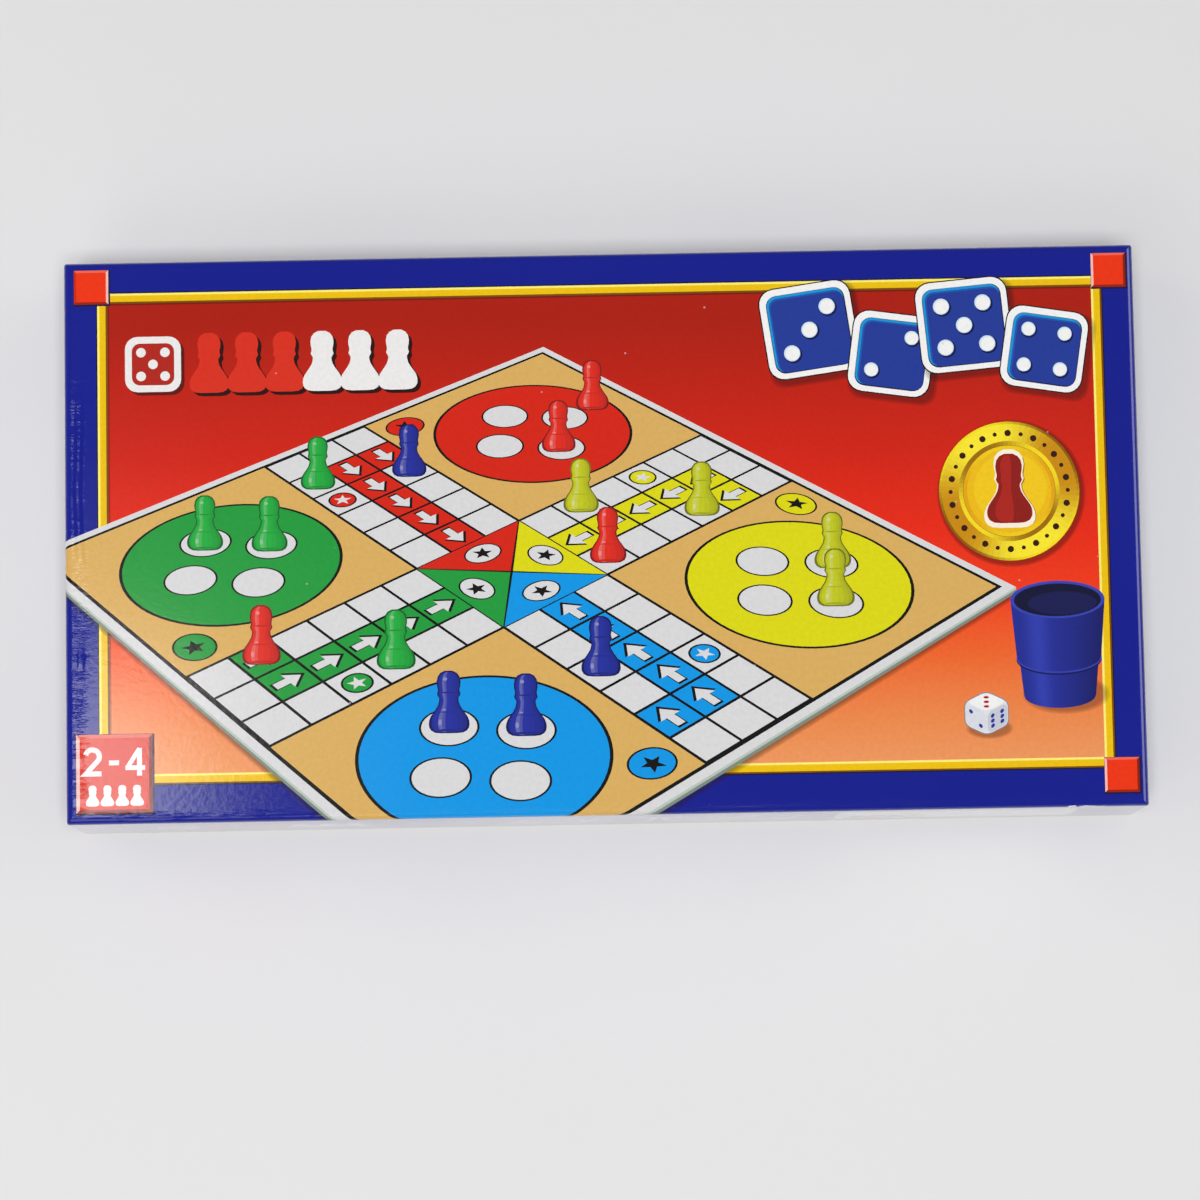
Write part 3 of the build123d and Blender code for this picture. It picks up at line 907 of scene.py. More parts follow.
def draw_die(art, x, y, size):
    """A white die seen from one corner, above."""
    across, up, drop = size * 0.87, size * 0.42, size * 0.92

    def shadow(k):
        return oval(x + 0.7, y - size * 0.66, size * (0.75 + 0.2 * k), size * (0.30 + 0.12 * k))

    art.glow(shadow, linear("5c2410"), 0.7)
    corners = [(x, y + 2 * up), (x - across, y + up), (x - across, y + up - drop), (x, y - drop)]
    corners += [(x + across, y + up - drop), (x + across, y + up)]
    corners = [Vector(corner) for corner in corners]
    middle = Vector((x, y + up - drop / 2))
    for grow, ink in ((1.03, "7c828e"), (0.99, "dfe1e6")):
        hull = []
        for k, here in enumerate(corners):
            curve = rounded_corner(corners[k - 1], here, corners[(k + 1) % 6])
            hull += [tuple(middle + grow * (point - middle)) for point in curve]
        art.lay(hull, linear(ink))
    sides = [
        ((x, y), (across, up), (-across, up), "f2f2f0", 3, "b41c24"),
        ((x - across, y + up), (across, -up), (0, -drop), "d9dce2", 2, "27339e"),
        ((x, y), (across, up), (0, -drop), "c6cad3", 6, "27339e"),
    ]
    for (ox, oy), (ax, ay), (bx, by), paper, value, pip in sides:

        def on(outline, ox=ox, oy=oy, ax=ax, ay=ay, bx=bx, by=by):
            return [(ox + u * ax + v * bx, oy + u * ay + v * by) for u, v in outline]

        with art.placed(on):
            art.lay(soft_box(0.5, 0.5, 0.93, 0.93, 0.24), linear(paper))
            for px, py in PIPS[value]:
                art.lay(oval(0.5 + 0.22 * px, 0.5 + 0.22 * py, 0.09, count=18), linear(pip))


def draw_medal(art, x, y, radius):
    """A gold medal with a pawn, a ring of dots and a rolled rim."""
    art.glow(lambda k: oval(x + 0.5, y - 0.6, radius + 0.2 + 0.9 * k, count=64), linear("1c0603"), 0.8)

    def on_round(share, a):
        return (x + radius * share * math.cos(a), y + radius * share * math.sin(a))

    bands = [
        (1.00, 0.66, "8a5c00", "f8e21c", 0.0),
        (0.965, 0.70, "c98a06", "fbe830", 0.4),
        (0.72, 0.66, "9c6c04", "f6dc20", math.pi),
        (0.655, 0.0, "e3a60c", "f0cc14", 0.9),
    ]
    count = 72
    for outer, inner, low, high, swing in bands:
        for step in range(count):
            a0, a1 = math.tau * step / count, math.tau * (step + 1) / count
            share = 0.5 + 0.5 * math.cos(2 * ((a0 + a1) / 2 - 2.25) + swing)
            back = [on_round(inner, a1), on_round(inner, a0)] if inner else [(x, y)]
            tone = mixed(linear(low), linear(high), share * share * (3 - 2 * share))
            art.lay([on_round(outer, a0), on_round(outer, a1)] + back, tone)
    art.lay(oval(x, y, radius * 0.60, count=64), linear("eebc10"))
    art.lay(oval(x + 0.3, y + 0.5, radius * 0.52, count=64), linear("f2c818"))
    dots = 28
    for step in range(dots):
        dot = radius * (0.046 if step % 2 else 0.030)
        art.lay(oval(*on_round(0.835, math.tau * step / dots), dot, count=16), linear("33150a"))
    foot, tall = y - radius * 0.47, radius * 0.96
    draw_pawn(art, x + 0.35, foot - 0.5, tall * 1.10, linear("9c6a06"), flat=True)
    draw_pawn(art, x, foot - radius * 0.035, tall * 1.13, linear("fbf2dc"), flat=True)
    draw_pawn(art, x, foot + radius * 0.03, tall, linear("8e1a14"), flat=True)
    art.lay(pawn_band(x, foot + radius * 0.03, tall, -0.72, 0.20), linear("ab241a"))


def draw_frame(art, x0, y0, x1, y1, line, gold):
    """A raised gold line round the ground, lit from the left and from above."""
    pale, brown, shade = linear("fff07a"), linear("7c4a04"), linear("3a0a06")
    art.lay(oblong(x0 - 0.3, y0 - 0.3, x1 + 0.3, y1 + 0.3), linear("120c1c"))
    art.lay(oblong(x0, y0, x1, y1), gold)
    a0, b0, a1, b1 = x0 + line, y0 + line, x1 - line, y1 - line
    lit = 0.55
    art.lay(oblong(x0, y0, x0 + lit, y1), pale)
    art.lay(oblong(a1, y0, a1 + lit, y1), pale)
    art.lay(oblong(x0, y1 - lit, x1, y1), pale)
    art.lay(oblong(x0, b0 - lit, x1, b0), pale)
    art.lay(oblong(a0 - 0.5, y0, a0, y1), brown)
    art.lay(oblong(x1 - 0.45, y0, x1, y1), brown)
    art.lay(oblong(x0, b1, x1, b1 + 0.5), brown)
    art.lay(oblong(x0, y0, x1, y0 + 0.4), brown)
    art.lay(oblong(a0, b0, a1, b1), GROUND)
    art.lay(oblong(a0, b1 - 0.4, a1, b1), shade, 0.6)
    art.lay(oblong(a0, b0, a0 + 0.4, b1), shade, 0.5)


def draw_numbers(art, white):
    """The plain numbers 2 - 4, for how many can play."""
    draw_raised_box(art, -132.4, -68.3, -113.3, -48.6, 0.9, linear("d83a28"))
    two = arc_of(-0.35, 2.2, 1.75, 165, -32, 12) + [(-2.0, -2.1), (1.9, -2.1)]
    four = (
        ([(1.0, -2.7), (1.0, 4.2)], 1.25),
        ([(1.0, 4.1), (-2.0, -0.6)], 1.1),
        ([(-2.5, -0.7), (2.4, -0.7)], 1.15),
    )
    with art.placed(at(-128.0, -56.3)):
        art.lay(stroke(two, 1.25), white)
    art.lay(stroke([(-124.2, -55.7), (-121.7, -55.7)], 1.2), white)
    with art.placed(at(-117.6, -56.3)):
        for points, width in four:
            art.lay(stroke(points, width), white)


def draw_scuffs(art):
    """Bare card where the film has chipped along the front fold."""
    bare = linear("e6e5ea")
    long_chip = [(117.4, -71.2), (119.0, -70.9), (121.2, -71.1), (122.6, -71.3), (124.4, -71.2)]
    long_chip += [(122.8, -71.9), (118.4, -71.8)]
    torn_chip = [(114.9, -71.0), (116.6, -70.8), (116.9, -71.5), (115.6, -72.6), (114.2, -74.6)]
    torn_chip += [(112.4, -75.6), (113.8, -73.8)]
    art.lay(long_chip, bare)
    art.lay(torn_chip, bare)
    art.lay(oval(111.9, -75.0, 0.5, 0.4, count=10), linear("16163a"))


def draw_cover(art, inks):
    """The picture on the top of the lid."""
    draw_frame(art, -126.5, -61.3, 126.8, 62.9, 2.6, tuple(inks.gold))
    red, half = linear("ee3408"), 4.35
    for cx, cy, lit in ((-128.0, 64.6, 1), (128.7, 64.4, -1), (128.4, -63.2, -1)):
        draw_raised_box(art, cx - half, cy - half, cx + half, cy + half, 0.6, red, lit)
    draw_cover_board(art, inks)
    draw_emblem(art, -112.5, 37.5, 14.4)
    draw_medal(art, 102.2, 8.6, 17.6)
    draw_tile(art, 53.0, 50.5, 19.5, 8, 3)
    draw_tile(art, 73.5, 44.0, 17.0, -8, 2)
    draw_tile(art, 92.0, 51.0, 19.5, 5, 5)
    draw_tile(art, 112.0, 44.5, 17.0, -9, 4)
    draw_cup(art, 113.5, -43.0)
    draw_die(art, 95.0, -47.0, 6.2)
    draw_numbers(art, linear("f2efec"))
    draw_pawn_row(art, -128.35, -66.4, 3.7, 5.0, ["f2efec"] * 4, flat=True)
    draw_scuffs(art)


def draw_wall(art, is_long, label):
    """A wall of the lid, from its middle. Up is towards the top of the carton."""
    start, size = (-14, 13.0) if is_long else (-26, 12.0)
    for k, (turn, value) in enumerate(((7, 3), (-6, 2), (5, 5), (-8, 4))):
        draw_tile(art, start + k * (size + 5.0), 1.0 + (1.2 if k % 2 else -0.6), size, turn, value)
    if is_long:
        draw_emblem(art, -109, -4.6, 10.5)
    if label:
        art.lay(soft_box(88, 1.2, 60.6, 25.8, 0.9), linear("9c9ca6"))
        art.lay(soft_box(88, 1.2, 60.0, 25.2, 0.7), linear("e9e9e8"))
        draw_pawn_row(art, 63, -9.0, 5.2, 9.0, ("1d9c3c", "cf1f18", "2a2c9e", "b8bf18"))
    elif is_long:
        draw_pawn_row(art, 76, -7.0, 9.0, 15.0, ("26a83e", "d8261c", "5560d0", "c6cc28"))


# ---------------------------------------------------------------- the folded blanks of lid and base


class Blank:
    """The flat blank of an open tray, and where each of its points goes once it is folded. In mm."""

    steps = 6  # of each fold
    guard = 0.5  # an edge loop runs this far beside a crease and beside the rim

    def __init__(self, low, high, sizes):
        self.half = (high.x / MM, high.y / MM)
        self.top, self.foot = high.z / MM, low.z / MM
        self.crease, self.corner, self.card = sizes.crease / MM, sizes.corner / MM, sizes.card / MM
        self.panel = (self.half[0] - self.crease, self.half[1] - self.crease)
        self.seam = self.half[1] - self.corner - sizes.seam_inset / MM
        self.seam_half = sizes.seam / MM / 2
        self.seam_depth = sizes.seam_depth / MM
        self.arc = self.crease * math.pi / 2
        self.reach = self.arc + self.top - self.crease - self.foot
        # The picture on the top runs on this far, 0.9 mm down the walls.
        self.bleed = self.arc + 0.9
        self.rows = [self.arc * k / self.steps for k in range(self.steps + 1)]
        self.rows += [self.bleed, self.reach - self.guard, self.reach]

    def bend(self, run, depth):
        """How far out and how high a point lies that is run mm past the start of the crease."""
        r = self.crease - depth
        if run < self.arc:
            a = max(0.0, run) / self.crease
            return r * math.sin(a), self.top - self.crease + r * math.cos(a)
        return r, self.top - self.crease - (run - self.arc)

    def turn(self, run, depth=0.0):
        """Where a wall's side ends, past the panel, and the radius of the corner that follows it."""
        out, _ = self.bend(run, depth)
        radius = max(0.0, self.corner - depth) * out / (self.crease - depth)
        return out - radius, radius

    def across(self, value, axis, run, depth):
        """The inner face of a wall is a little narrower than the outer one."""
        over = abs(value) - self.panel[axis]
        if over < 1e-9:
            return value
        share = over / self.turn(run)[0]
        return math.copysign(self.panel[axis] + share * self.turn(run, depth)[0], value)

    def folded(self, x, y, depth=0.0, grooved=True):
        """Where a point of the blank lies once it is folded, depth mm under the outer face."""
        past = (abs(x) - self.panel[0], abs(y) - self.panel[1])
        if past[0] > 1e-6 and past[0] > past[1]:
            if grooved and past[0] > self.bleed - 0.1 and abs(abs(y) - self.seam) < 0.01:
                depth += self.seam_depth
            out, high = self.bend(past[0], depth)
            return math.copysign(self.panel[0] + out, x), self.across(y, 1, past[0], depth), high
        if past[1] > 1e-6:
            out, high = self.bend(past[1], depth)
            return self.across(x, 0, past[1], depth), math.copysign(self.panel[1] + out, y), high
        return x, y, self.top - depth

    def turned_corner(self, sx, sy, a, run, depth):
        """A point of the rounded corner, at angle a from the long wall's end."""
        side, r = self.turn(run, depth)
        _, high = self.bend(run, depth)
        x = self.panel[0] + side + r * math.sin(a)
        y = self.panel[1] + side + r * math.cos(a)
        return sx * x, sy * y, high

    def outline(self):
        """The blank's edge, counterclockwise."""
        points = []
        px, py = self.panel
        for sx, sy in QUARTERS:
            short = [(sx * (px + run), sy * (py + self.turn(run)[0])) for run in reversed(self.rows)]
            long = [(sx * (px + self.turn(run)[0]), sy * (py + run)) for run in self.rows[1:]]
            edge = short + long
            points += edge if sx * sy > 0 else edge[::-1]
        return points

    def fold_lines(self):
        """Lines the mesh follows: each step of the creases, a guard beside them, and the seams."""
        lines = []
        px, py = self.panel
        for run in self.rows[:-1] + [-self.guard]:
            side = self.turn(run)[0] if run >= 0 else run
            for s in (-1, 1):
                lines.append([(s * (px + run), -py - side), (s * (px + run), py + side)])
                lines.append([(-px - side, s * (py + run)), (px + side, s * (py + run))])
        for sx, sy in CORNERS:
            for off in (-self.seam_half, 0, self.seam_half):
                y = sy * (self.seam + off)
                lines.append([(sx * (px + self.bleed), y), (sx * (px + self.reach), y)])
        return lines

    def tray(self, name, art, paper):
        """The folded tray, outer faces first, and the ink of each outer face."""
        flat, faces, shades = art.pressed(self.outline(), self.fold_lines())
        points = [self.folded(x, y) for x, y in flat]
        start = len(points)
        plain, plain_faces, _ = Print(paper).pressed(self.outline(), self.fold_lines())
        points += [self.folded(x, y, self.card, False) for x, y in plain]
        inner = [[start + k for k in reversed(face)] for face in plain_faces]
        angles = [math.pi / 2 * k / self.steps for k in range(self.steps + 1)]
        wide = len(angles)
        for depth in (0.0, self.card):
            for sx, sy in QUARTERS:
                start = len(points)
                points += [self.turned_corner(sx, sy, a, run, depth) for run in self.rows for a in angles]
                for row in range(len(self.rows) - 1):
                    for k in range(wide - 1):
                        a = start + row * wide + k
                        face = [a, a + 1, a + wide + 1, a + wide]
                        (inner if depth else faces).append(face)
                        if not depth:
                            shades.append((*paper, 0.0))
        piece = drawn(name, points, faces=faces + inner)
        for face in piece.data.polygons:
            face.material_index = int(face.index >= len(faces))
        return piece, shades

    def close(self, piece, floor):
        """Merges walls and corners, closes the cut rim and turns every face outwards."""
        with shaping(piece):
            bpy.ops.mesh.select_all(action="SELECT")
            bpy.ops.mesh.remove_doubles(threshold=3e-6)
            pick_edges(piece, lambda edge: edge.is_boundary)
            bpy.ops.mesh.bridge_edge_loops()
            mesh = bmesh.from_edit_mesh(piece.data)
            for face in mesh.faces:
                if abs(face.normal.z) > 0.98 and all(abs(v.co.z - floor) < 1e-4 for v in face.verts):
                    face.material_index = 1
            bpy.ops.mesh.select_all(action="SELECT")
            bpy.ops.mesh.normals_make_consistent(inside=False)


# ---------------------------------------------------------------- pieces


def glue_in_tabs(tray, outer, low_z, high_z, sizes, finish):
    """Joins the four glued tabs inside the short walls to the tray, as softly edged strips of card."""
    wall_x, end_y = outer.x - sizes.card, outer.y - sizes.card
    sunk, softened = 0.02 * MM, 0.15 * MM
    tabs = []
    for sx, sy in CORNERS:
        xs = sorted((sx * (wall_x - sizes.card), sx * (wall_x + sunk)))
        ys = sorted((sy * (end_y - sizes.tab), sy * end_y))
        tab = block("tab", (xs[0], ys[0], low_z), (xs[1], ys[1], high_z))
        with shaping(tab):
            pick_edges(tab, lambda edge: True)
            bpy.ops.mesh.bevel(offset=softened, segments=2, affect="EDGES")
        finish_with(tab, finish)
        tabs.append(tab)
    join(tray, tabs)


class LUDO_OT_lid(bpy.types.Operator):
    """Prints the lid's blank, folds it and glues its corner tabs in"""

    bl_idname = "ludo.lid"
    bl_label = "Lid"

    def execute(self, context):
        sizes, inks = context.scene.carton_sizes, context.scene.carton_inks
        blank = Blank(lid_low, lid_high, sizes)
        blue, raw = tuple(inks.blue), linear("c9c2b4")
        art = Print(blue)
        draw_cover(art, inks)
        # Each wall starts where the cover's picture ends, and runs on past the blank's edge.
        x0, y0 = (side + blank.bleed for side in blank.panel)
        x1, y1 = (side + blank.reach + 5 for side in blank.panel)
        art.lay(oblong(-x1, -y1, x1, -y0), blue)
        art.lay(oblong(-x1, y0, x1, y1), blue)
        art.lay(oblong(x0, -y1, x1, y1), blue)
        art.lay(oblong(-x1, -y1, -x0, y1), blue)
        middle = (blank.reach - blank.bleed) / 2
        for place, is_long, label in (
            (at(0, -(y0 + middle)), True, True),
            (at(0, y0 + middle, 180), True, False),
            (at(x0 + middle, 0, 90), False, False),
            (at(-(x0 + middle), 0, -90), False, False),
        ):
            with art.placed(place):
                draw_wall(art, is_long, label)
        end = blank.panel[0] + blank.reach
        for sx, sy in CORNERS:
            xs = sorted((sx * x0, sx * end))
            ys = sorted((sy * (blank.seam - blank.seam_half), sy * (blank.seam + blank.seam_half)))
            art.lay(oblong(xs[0], ys[0], xs[1], ys[1]), raw)
        lid, shades = blank.tray("lid_print", art, blue)
        ink_mesh(lid, shades, raw)
        inside = raw_card("raw_card")
        finish_with(lid, laminated_print("laminated_cover", ground=True, wrinkled=True), inside)
        blank.close(lid, lid_low.z)
        smooth(lid)
        foot, ceiling = lid_low.z + sizes.tab_inset, lid_high.z - sizes.card - sizes.tab_inset
        glue_in_tabs(lid, lid_high, foot, ceiling, sizes, inside)
        settle(lid, "lid", "lid_print", "lid")
        return {"FINISHED"}


class LUDO_OT_base(bpy.types.Operator):
    """Folds the base's tray from one sheet and glues its corner tabs in"""

    bl_idname = "ludo.base"
    bl_label = "Base"

    def execute(self, context):
        sizes = context.scene.carton_sizes
        blank = Blank(base_low, base_high, sizes)
        paper = linear("d6d4ce")
        base, _ = blank.tray("base_tray", Print(paper), paper)
        # It is folded as the lid is, and then turned over, so that its panel lies below.
        middle = Matrix.Translation((0, 0, base_low.z + base_high.z))
        base.data.transform(middle @ Matrix.Scale(-1, 4, (0, 0, 1)))
        inside = raw_card("base_inside", "c4bdae")
        finish_with(base, coated_card("base_outside", "d6d4ce"), inside)
        blank.close(base, base_high.z)
        smooth(base)
        floor, rim = base_low.z + sizes.card + sizes.tab_inset, base_high.z - sizes.tab_inset
        glue_in_tabs(base, base_high, floor, rim, sizes, inside)
        settle(base, "base", "base_card", "base")
        return {"FINISHED"}


class LUDO_OT_insert(bpy.types.Operator):
    """Gives the insert and its dividers their white coated card"""

    bl_idname = "ludo.insert"
    bl_label = "Insert and Dividers"

    def execute(self, context):
        card = coated_card("insert_card_white")
        for name in ("insert_card", "divider_long", "divider_cells", "divider_bay"):
            finish_with(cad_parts[name], card)
        return {"FINISHED"}


def printed_face(name, half, inks, margin):
    """One half of the playing board's printed sheet. half is -1 for the front and 1 for the rear."""
    side = (face_high.x - face_low.x) / MM
    square = (side - 2 * margin / MM) / 15
    hinge = round(face_low.y / MM + side / 2, 3)
    art = Print(tuple(inks.white))

    def open_flat(outline):
        return [((x - 7.5) * square, hinge + (y - 7.5) * square) for x, y in outline]

    with art.placed(open_flat):
        draw_board(art, inks, margin / MM / square)
    x0, x1 = face_low.x / MM, face_high.x / MM
    if half < 0:
        y0, y1 = face_low.y / MM, face_high.y / MM
    else:
        y0, y1 = 2 * hinge - rear_high.y / MM, 2 * hinge - rear_low.y / MM
    guard = oblong(x0 + 0.4, y0 + 0.4, x1 - 0.4, y1 - 0.4)
    flat_points, faces, shades = art.pressed(oblong(x0, y0, x1, y1), [guard + guard[:1]])
    if half < 0:
        points = [(x, y, face_high.z / MM) for x, y in flat_points]
    else:
        # The rear half lies turned over onto the front one, about the hinge.
        points = [(x, 2 * hinge - y, rear_low.z / MM) for x, y in flat_points]
    piece = drawn(name, points, faces=faces)
    ink_mesh(piece, shades, tuple(inks.white))
    return piece


class LUDO_OT_board(bpy.types.Operator):
    """Prints the two halves of the playing board, and finishes their cores and backs"""

    bl_idname = "ludo.board"
    bl_label = "Playing Board"

    def execute(self, context):
        inks, play = context.scene.carton_inks, context.scene.play_sizes
        film = laminated_print("laminated_board")
        edge = raw_card("board_paper_back", "d9d5cc", 0.3)
        for half, side in ((-1, "front"), (1, "rear")):
            node = f"board_face_{side}"
            low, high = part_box(node)
            piece = printed_face(f"board_print_{side}", half, inks, play.board_margin)
            finish_with(piece, film, edge)
            thicken(piece, high.z - low.z, second=1)
            settle(piece, f"board_{side}", "board_print", node)
        core, back = chipboard(), leatherette()
        for side in ("front", "rear"):
            finish_with(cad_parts[f"board_core_{side}"], core)
            finish_with(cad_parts[f"board_back_{side}"], back)
        return {"FINISHED"}


class LUDO_OT_hinge_tape(bpy.types.Operator):
    """Wraps the cloth tape round the spine of the folded board"""

    bl_idname = "ludo.hinge_tape"
    bl_label = "Hinge Tape"

    def execute(self, context):
        low, high = tape_low, tape_high
        cloth, rounding, steps, hair = 0.0002, 0.0003, 12, 1e-5
        bpy.ops.object.select_all(action="DESELECT")
        bpy.ops.mesh.primitive_plane_add(size=1, location=(0, (low.y + high.y) / 2, low.z))
        tape = bpy.context.object
        tape.scale = (high.x - low.x, high.y - low.y, 1)
        bpy.ops.object.transform_apply(location=True, rotation=True, scale=True)
        tape.name = tape.data.name = "hinge_tape"

        def at_spine(edge):
            return min(v.co.y for v in edge.verts) > high.y - hair

        def at_fold(edge):
            below = max(v.co.z for v in edge.verts) < low.z + hair
            above = min(v.co.z for v in edge.verts) > high.z - hair
            return at_spine(edge) and (below or above)

        with shaping(tape):
            pick_edges(tape, at_spine)
            rise = {"value": (0, 0, (high.z - low.z) / steps)}
            for _ in range(steps):
                bpy.ops.mesh.extrude_region_move(TRANSFORM_OT_translate=rise)
            bpy.ops.mesh.extrude_region_move(TRANSFORM_OT_translate={"value": (0, low.y - high.y, 0)})
            pick_edges(tape, at_fold)
            bpy.ops.mesh.bevel(offset=rounding, segments=3, affect="EDGES")
            bpy.ops.mesh.select_all(action="SELECT")
            bpy.ops.mesh.normals_make_consistent(inside=False)
        finish_with(tape, book_cloth())
        lower = [face for face in tape.data.polygons if face.center.z < low.z + 1e-4]
        if lower[0].normal.z > 0:
            with shaping(tape):
                bpy.ops.mesh.select_all(action="SELECT")
                bpy.ops.mesh.flip_normals()
        thicken(tape, cloth)
        smooth(tape, 40)
        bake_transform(tape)
        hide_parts("board_hinge_tape")
        return {"FINISHED"}


def turned_piece(name, profile, centre, axis, steps):
    """Spins a half outline, given as (along the axis, radius) in mm, round the axis."""
    if axis == "Z":
        points = [(r, 0, z) for z, r in profile]
        spin_axis = (0, 0, 1)
    else:
        points = [(x, 0, r) for x, r in profile]
        spin_axis = (1, 0, 0)
    piece = drawn(name, points, edges=[(k, k + 1) for k in range(len(points) - 1)])
    with shaping(piece):
        bpy.ops.mesh.select_all(action="SELECT")
        bpy.ops.mesh.spin(steps=steps, angle=math.tau, center=(0, 0, 0), axis=spin_axis)
    piece.data.transform(Matrix.Translation(centre))
    with shaping(piece):
        bpy.ops.mesh.select_all(action="SELECT")
        bpy.ops.mesh.remove_doubles(threshold=2e-6)
        bpy.ops.mesh.normals_make_consistent(inside=False)
    return piece


def pawn_profile():
    """(height, radius) of a pawn in mm, from the middle of its foot to the top of its head."""
    foot = [(0.7, 0.0), (0.7, 3.6), (0.15, 4.1), (0.0, 4.3), (0.0, 4.75), (0.12, 5.02), (0.42, 5.2)]
    groove = [(2.9, 5.2), (3.0, 5.05), (3.15, 5.0), (3.3, 5.05), (3.4, 5.2), (3.6, 5.2)]
    belly = arc_of(3.6, -0.6, 5.8, 90, 90 - math.degrees(math.asin(4 / 5.8)), 8)[1:]
    shoulder = [(7.7, 3.52), (8.05, 3.2)]
    neck = []
    for k in range(1, 11):
        share = k / 10
        bow = 0.23 * 4 * share * (1 - share)
        neck.append((8.05 + 4.35 * share, 3.15 - 1.15 * share - bow))
    flare = arc_of(12.4, 2.9, 0.9, -90, 0, 4)[1:]
    collar = [(13.36, 2.96), (13.5, 3.0), (14.15, 3.0), (14.3, 2.92), (14.36, 2.78), (15.2, 2.47)]
    head = arc_of(17.1, 0, 2.9, 90 + math.degrees(math.asin(1.6 / 2.9)), 0, 14)[1:]
    return foot + groove + belly + shoulder + neck + flare + collar + head


class LUDO_OT_pawns(bpy.types.Operator):
    """Turns one pawn and stands a copy of it at each of the sixteen places"""

    bl_idname = "ludo.pawns"
    bl_label = "Pawns"

    def execute(self, context):
        plastics = context.scene.carton_plastics
        model = turned_piece("pawn_model", pawn_profile(), (0, 0, 0), "Z", 48)
        smooth(model, 42)
        for tint in ("green", "red", "blue", "yellow"):
            finish = moulded(f"pawn_plastic_{tint}", tuple(getattr(plastics, tint)))
            for number in range(1, 5):
                node = f"{tint}_pawn_{number}"
                low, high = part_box(node)
                piece = bpy.data.objects.new(f"{node}_turned", model.data.copy())
                context.collection.objects.link(piece)
                piece.data.transform(Matrix.Rotation(number * 1.3, 4, "Z"))
                foot = ((low.x + high.x) / 2, (low.y + high.y) / 2, low.z)
                piece.data.transform(Matrix.Translation(foot))
                finish_with(piece, finish)
                settle(piece, node, f"pawn_{tint}", node)
        bpy.data.objects.remove(model)
        return {"FINISHED"}


class LUDO_OT_cup(bpy.types.Operator):
    """Turns the shaker cup, which lies on its side"""

    bl_idname = "ludo.cup"
    bl_label = "Shaker Cup"

    def execute(self, context):
        wall = context.scene.play_sizes.cup_wall / MM
        long = (cup_high.x - cup_low.x) / MM
        mouth = (cup_high.z - cup_low.z) / MM / 2
        foot = mouth - 0.8
        bore = mouth - wall
        inside = [(long - 1.6, 0.0), (long - 1.6, foot - wall - 0.8), (long - 2.4, foot - wall)]
        inside += [(23.0, bore - 0.4), (0.5, bore)]
        lip = [(0.15, bore + 0.12), (0.0, bore + 0.4), (0.0, mouth - 0.4), (0.12, mouth - 0.12), (0.4, mouth)]
        step = [(22.2, mouth), (22.7, mouth - 0.04), (23.0, mouth - 0.15), (23.25, mouth - 0.4)]
        step += [(23.7, mouth - 0.42)]
        heel = arc_of(long - 1.4, foot - 1.4, 1.4, 90, 0, 6)
        heel += [(long, foot - 2.6), (long - 0.5, foot - 3.2), (long - 0.5, 0.0)]
        centre = (cup_low.x, (cup_low.y + cup_high.y) / 2, (cup_low.z + cup_high.z) / 2)
        cup = turned_piece("shaker_cup", inside + lip + step + heel, centre, "X", 96)
        smooth(cup, 40)
        tint = tuple(context.scene.carton_plastics.cup)
        finish_with(cup, moulded("cup_plastic_blue", tint, 0.36, 0.02))
        settle(cup, "dice_cup", "cup_plastic", "dice_cup")
        return {"FINISHED"}


# Which way a side of the die faces, a direction along it, and its number.
DIE_SIDES = (
    ((0, 0, 1), (1, 0, 0), 6),
    ((0, 0, -1), (1, 0, 0), 1),
    ((0, -1, 0), (1, 0, 0), 4),
    ((0, 1, 0), (1, 0, 0), 3),
    ((1, 0, 0), (0, 1, 0), 5),
    ((-1, 0, 0), (0, 1, 0), 2),
)
RED_NUMBERS = (1, 4)


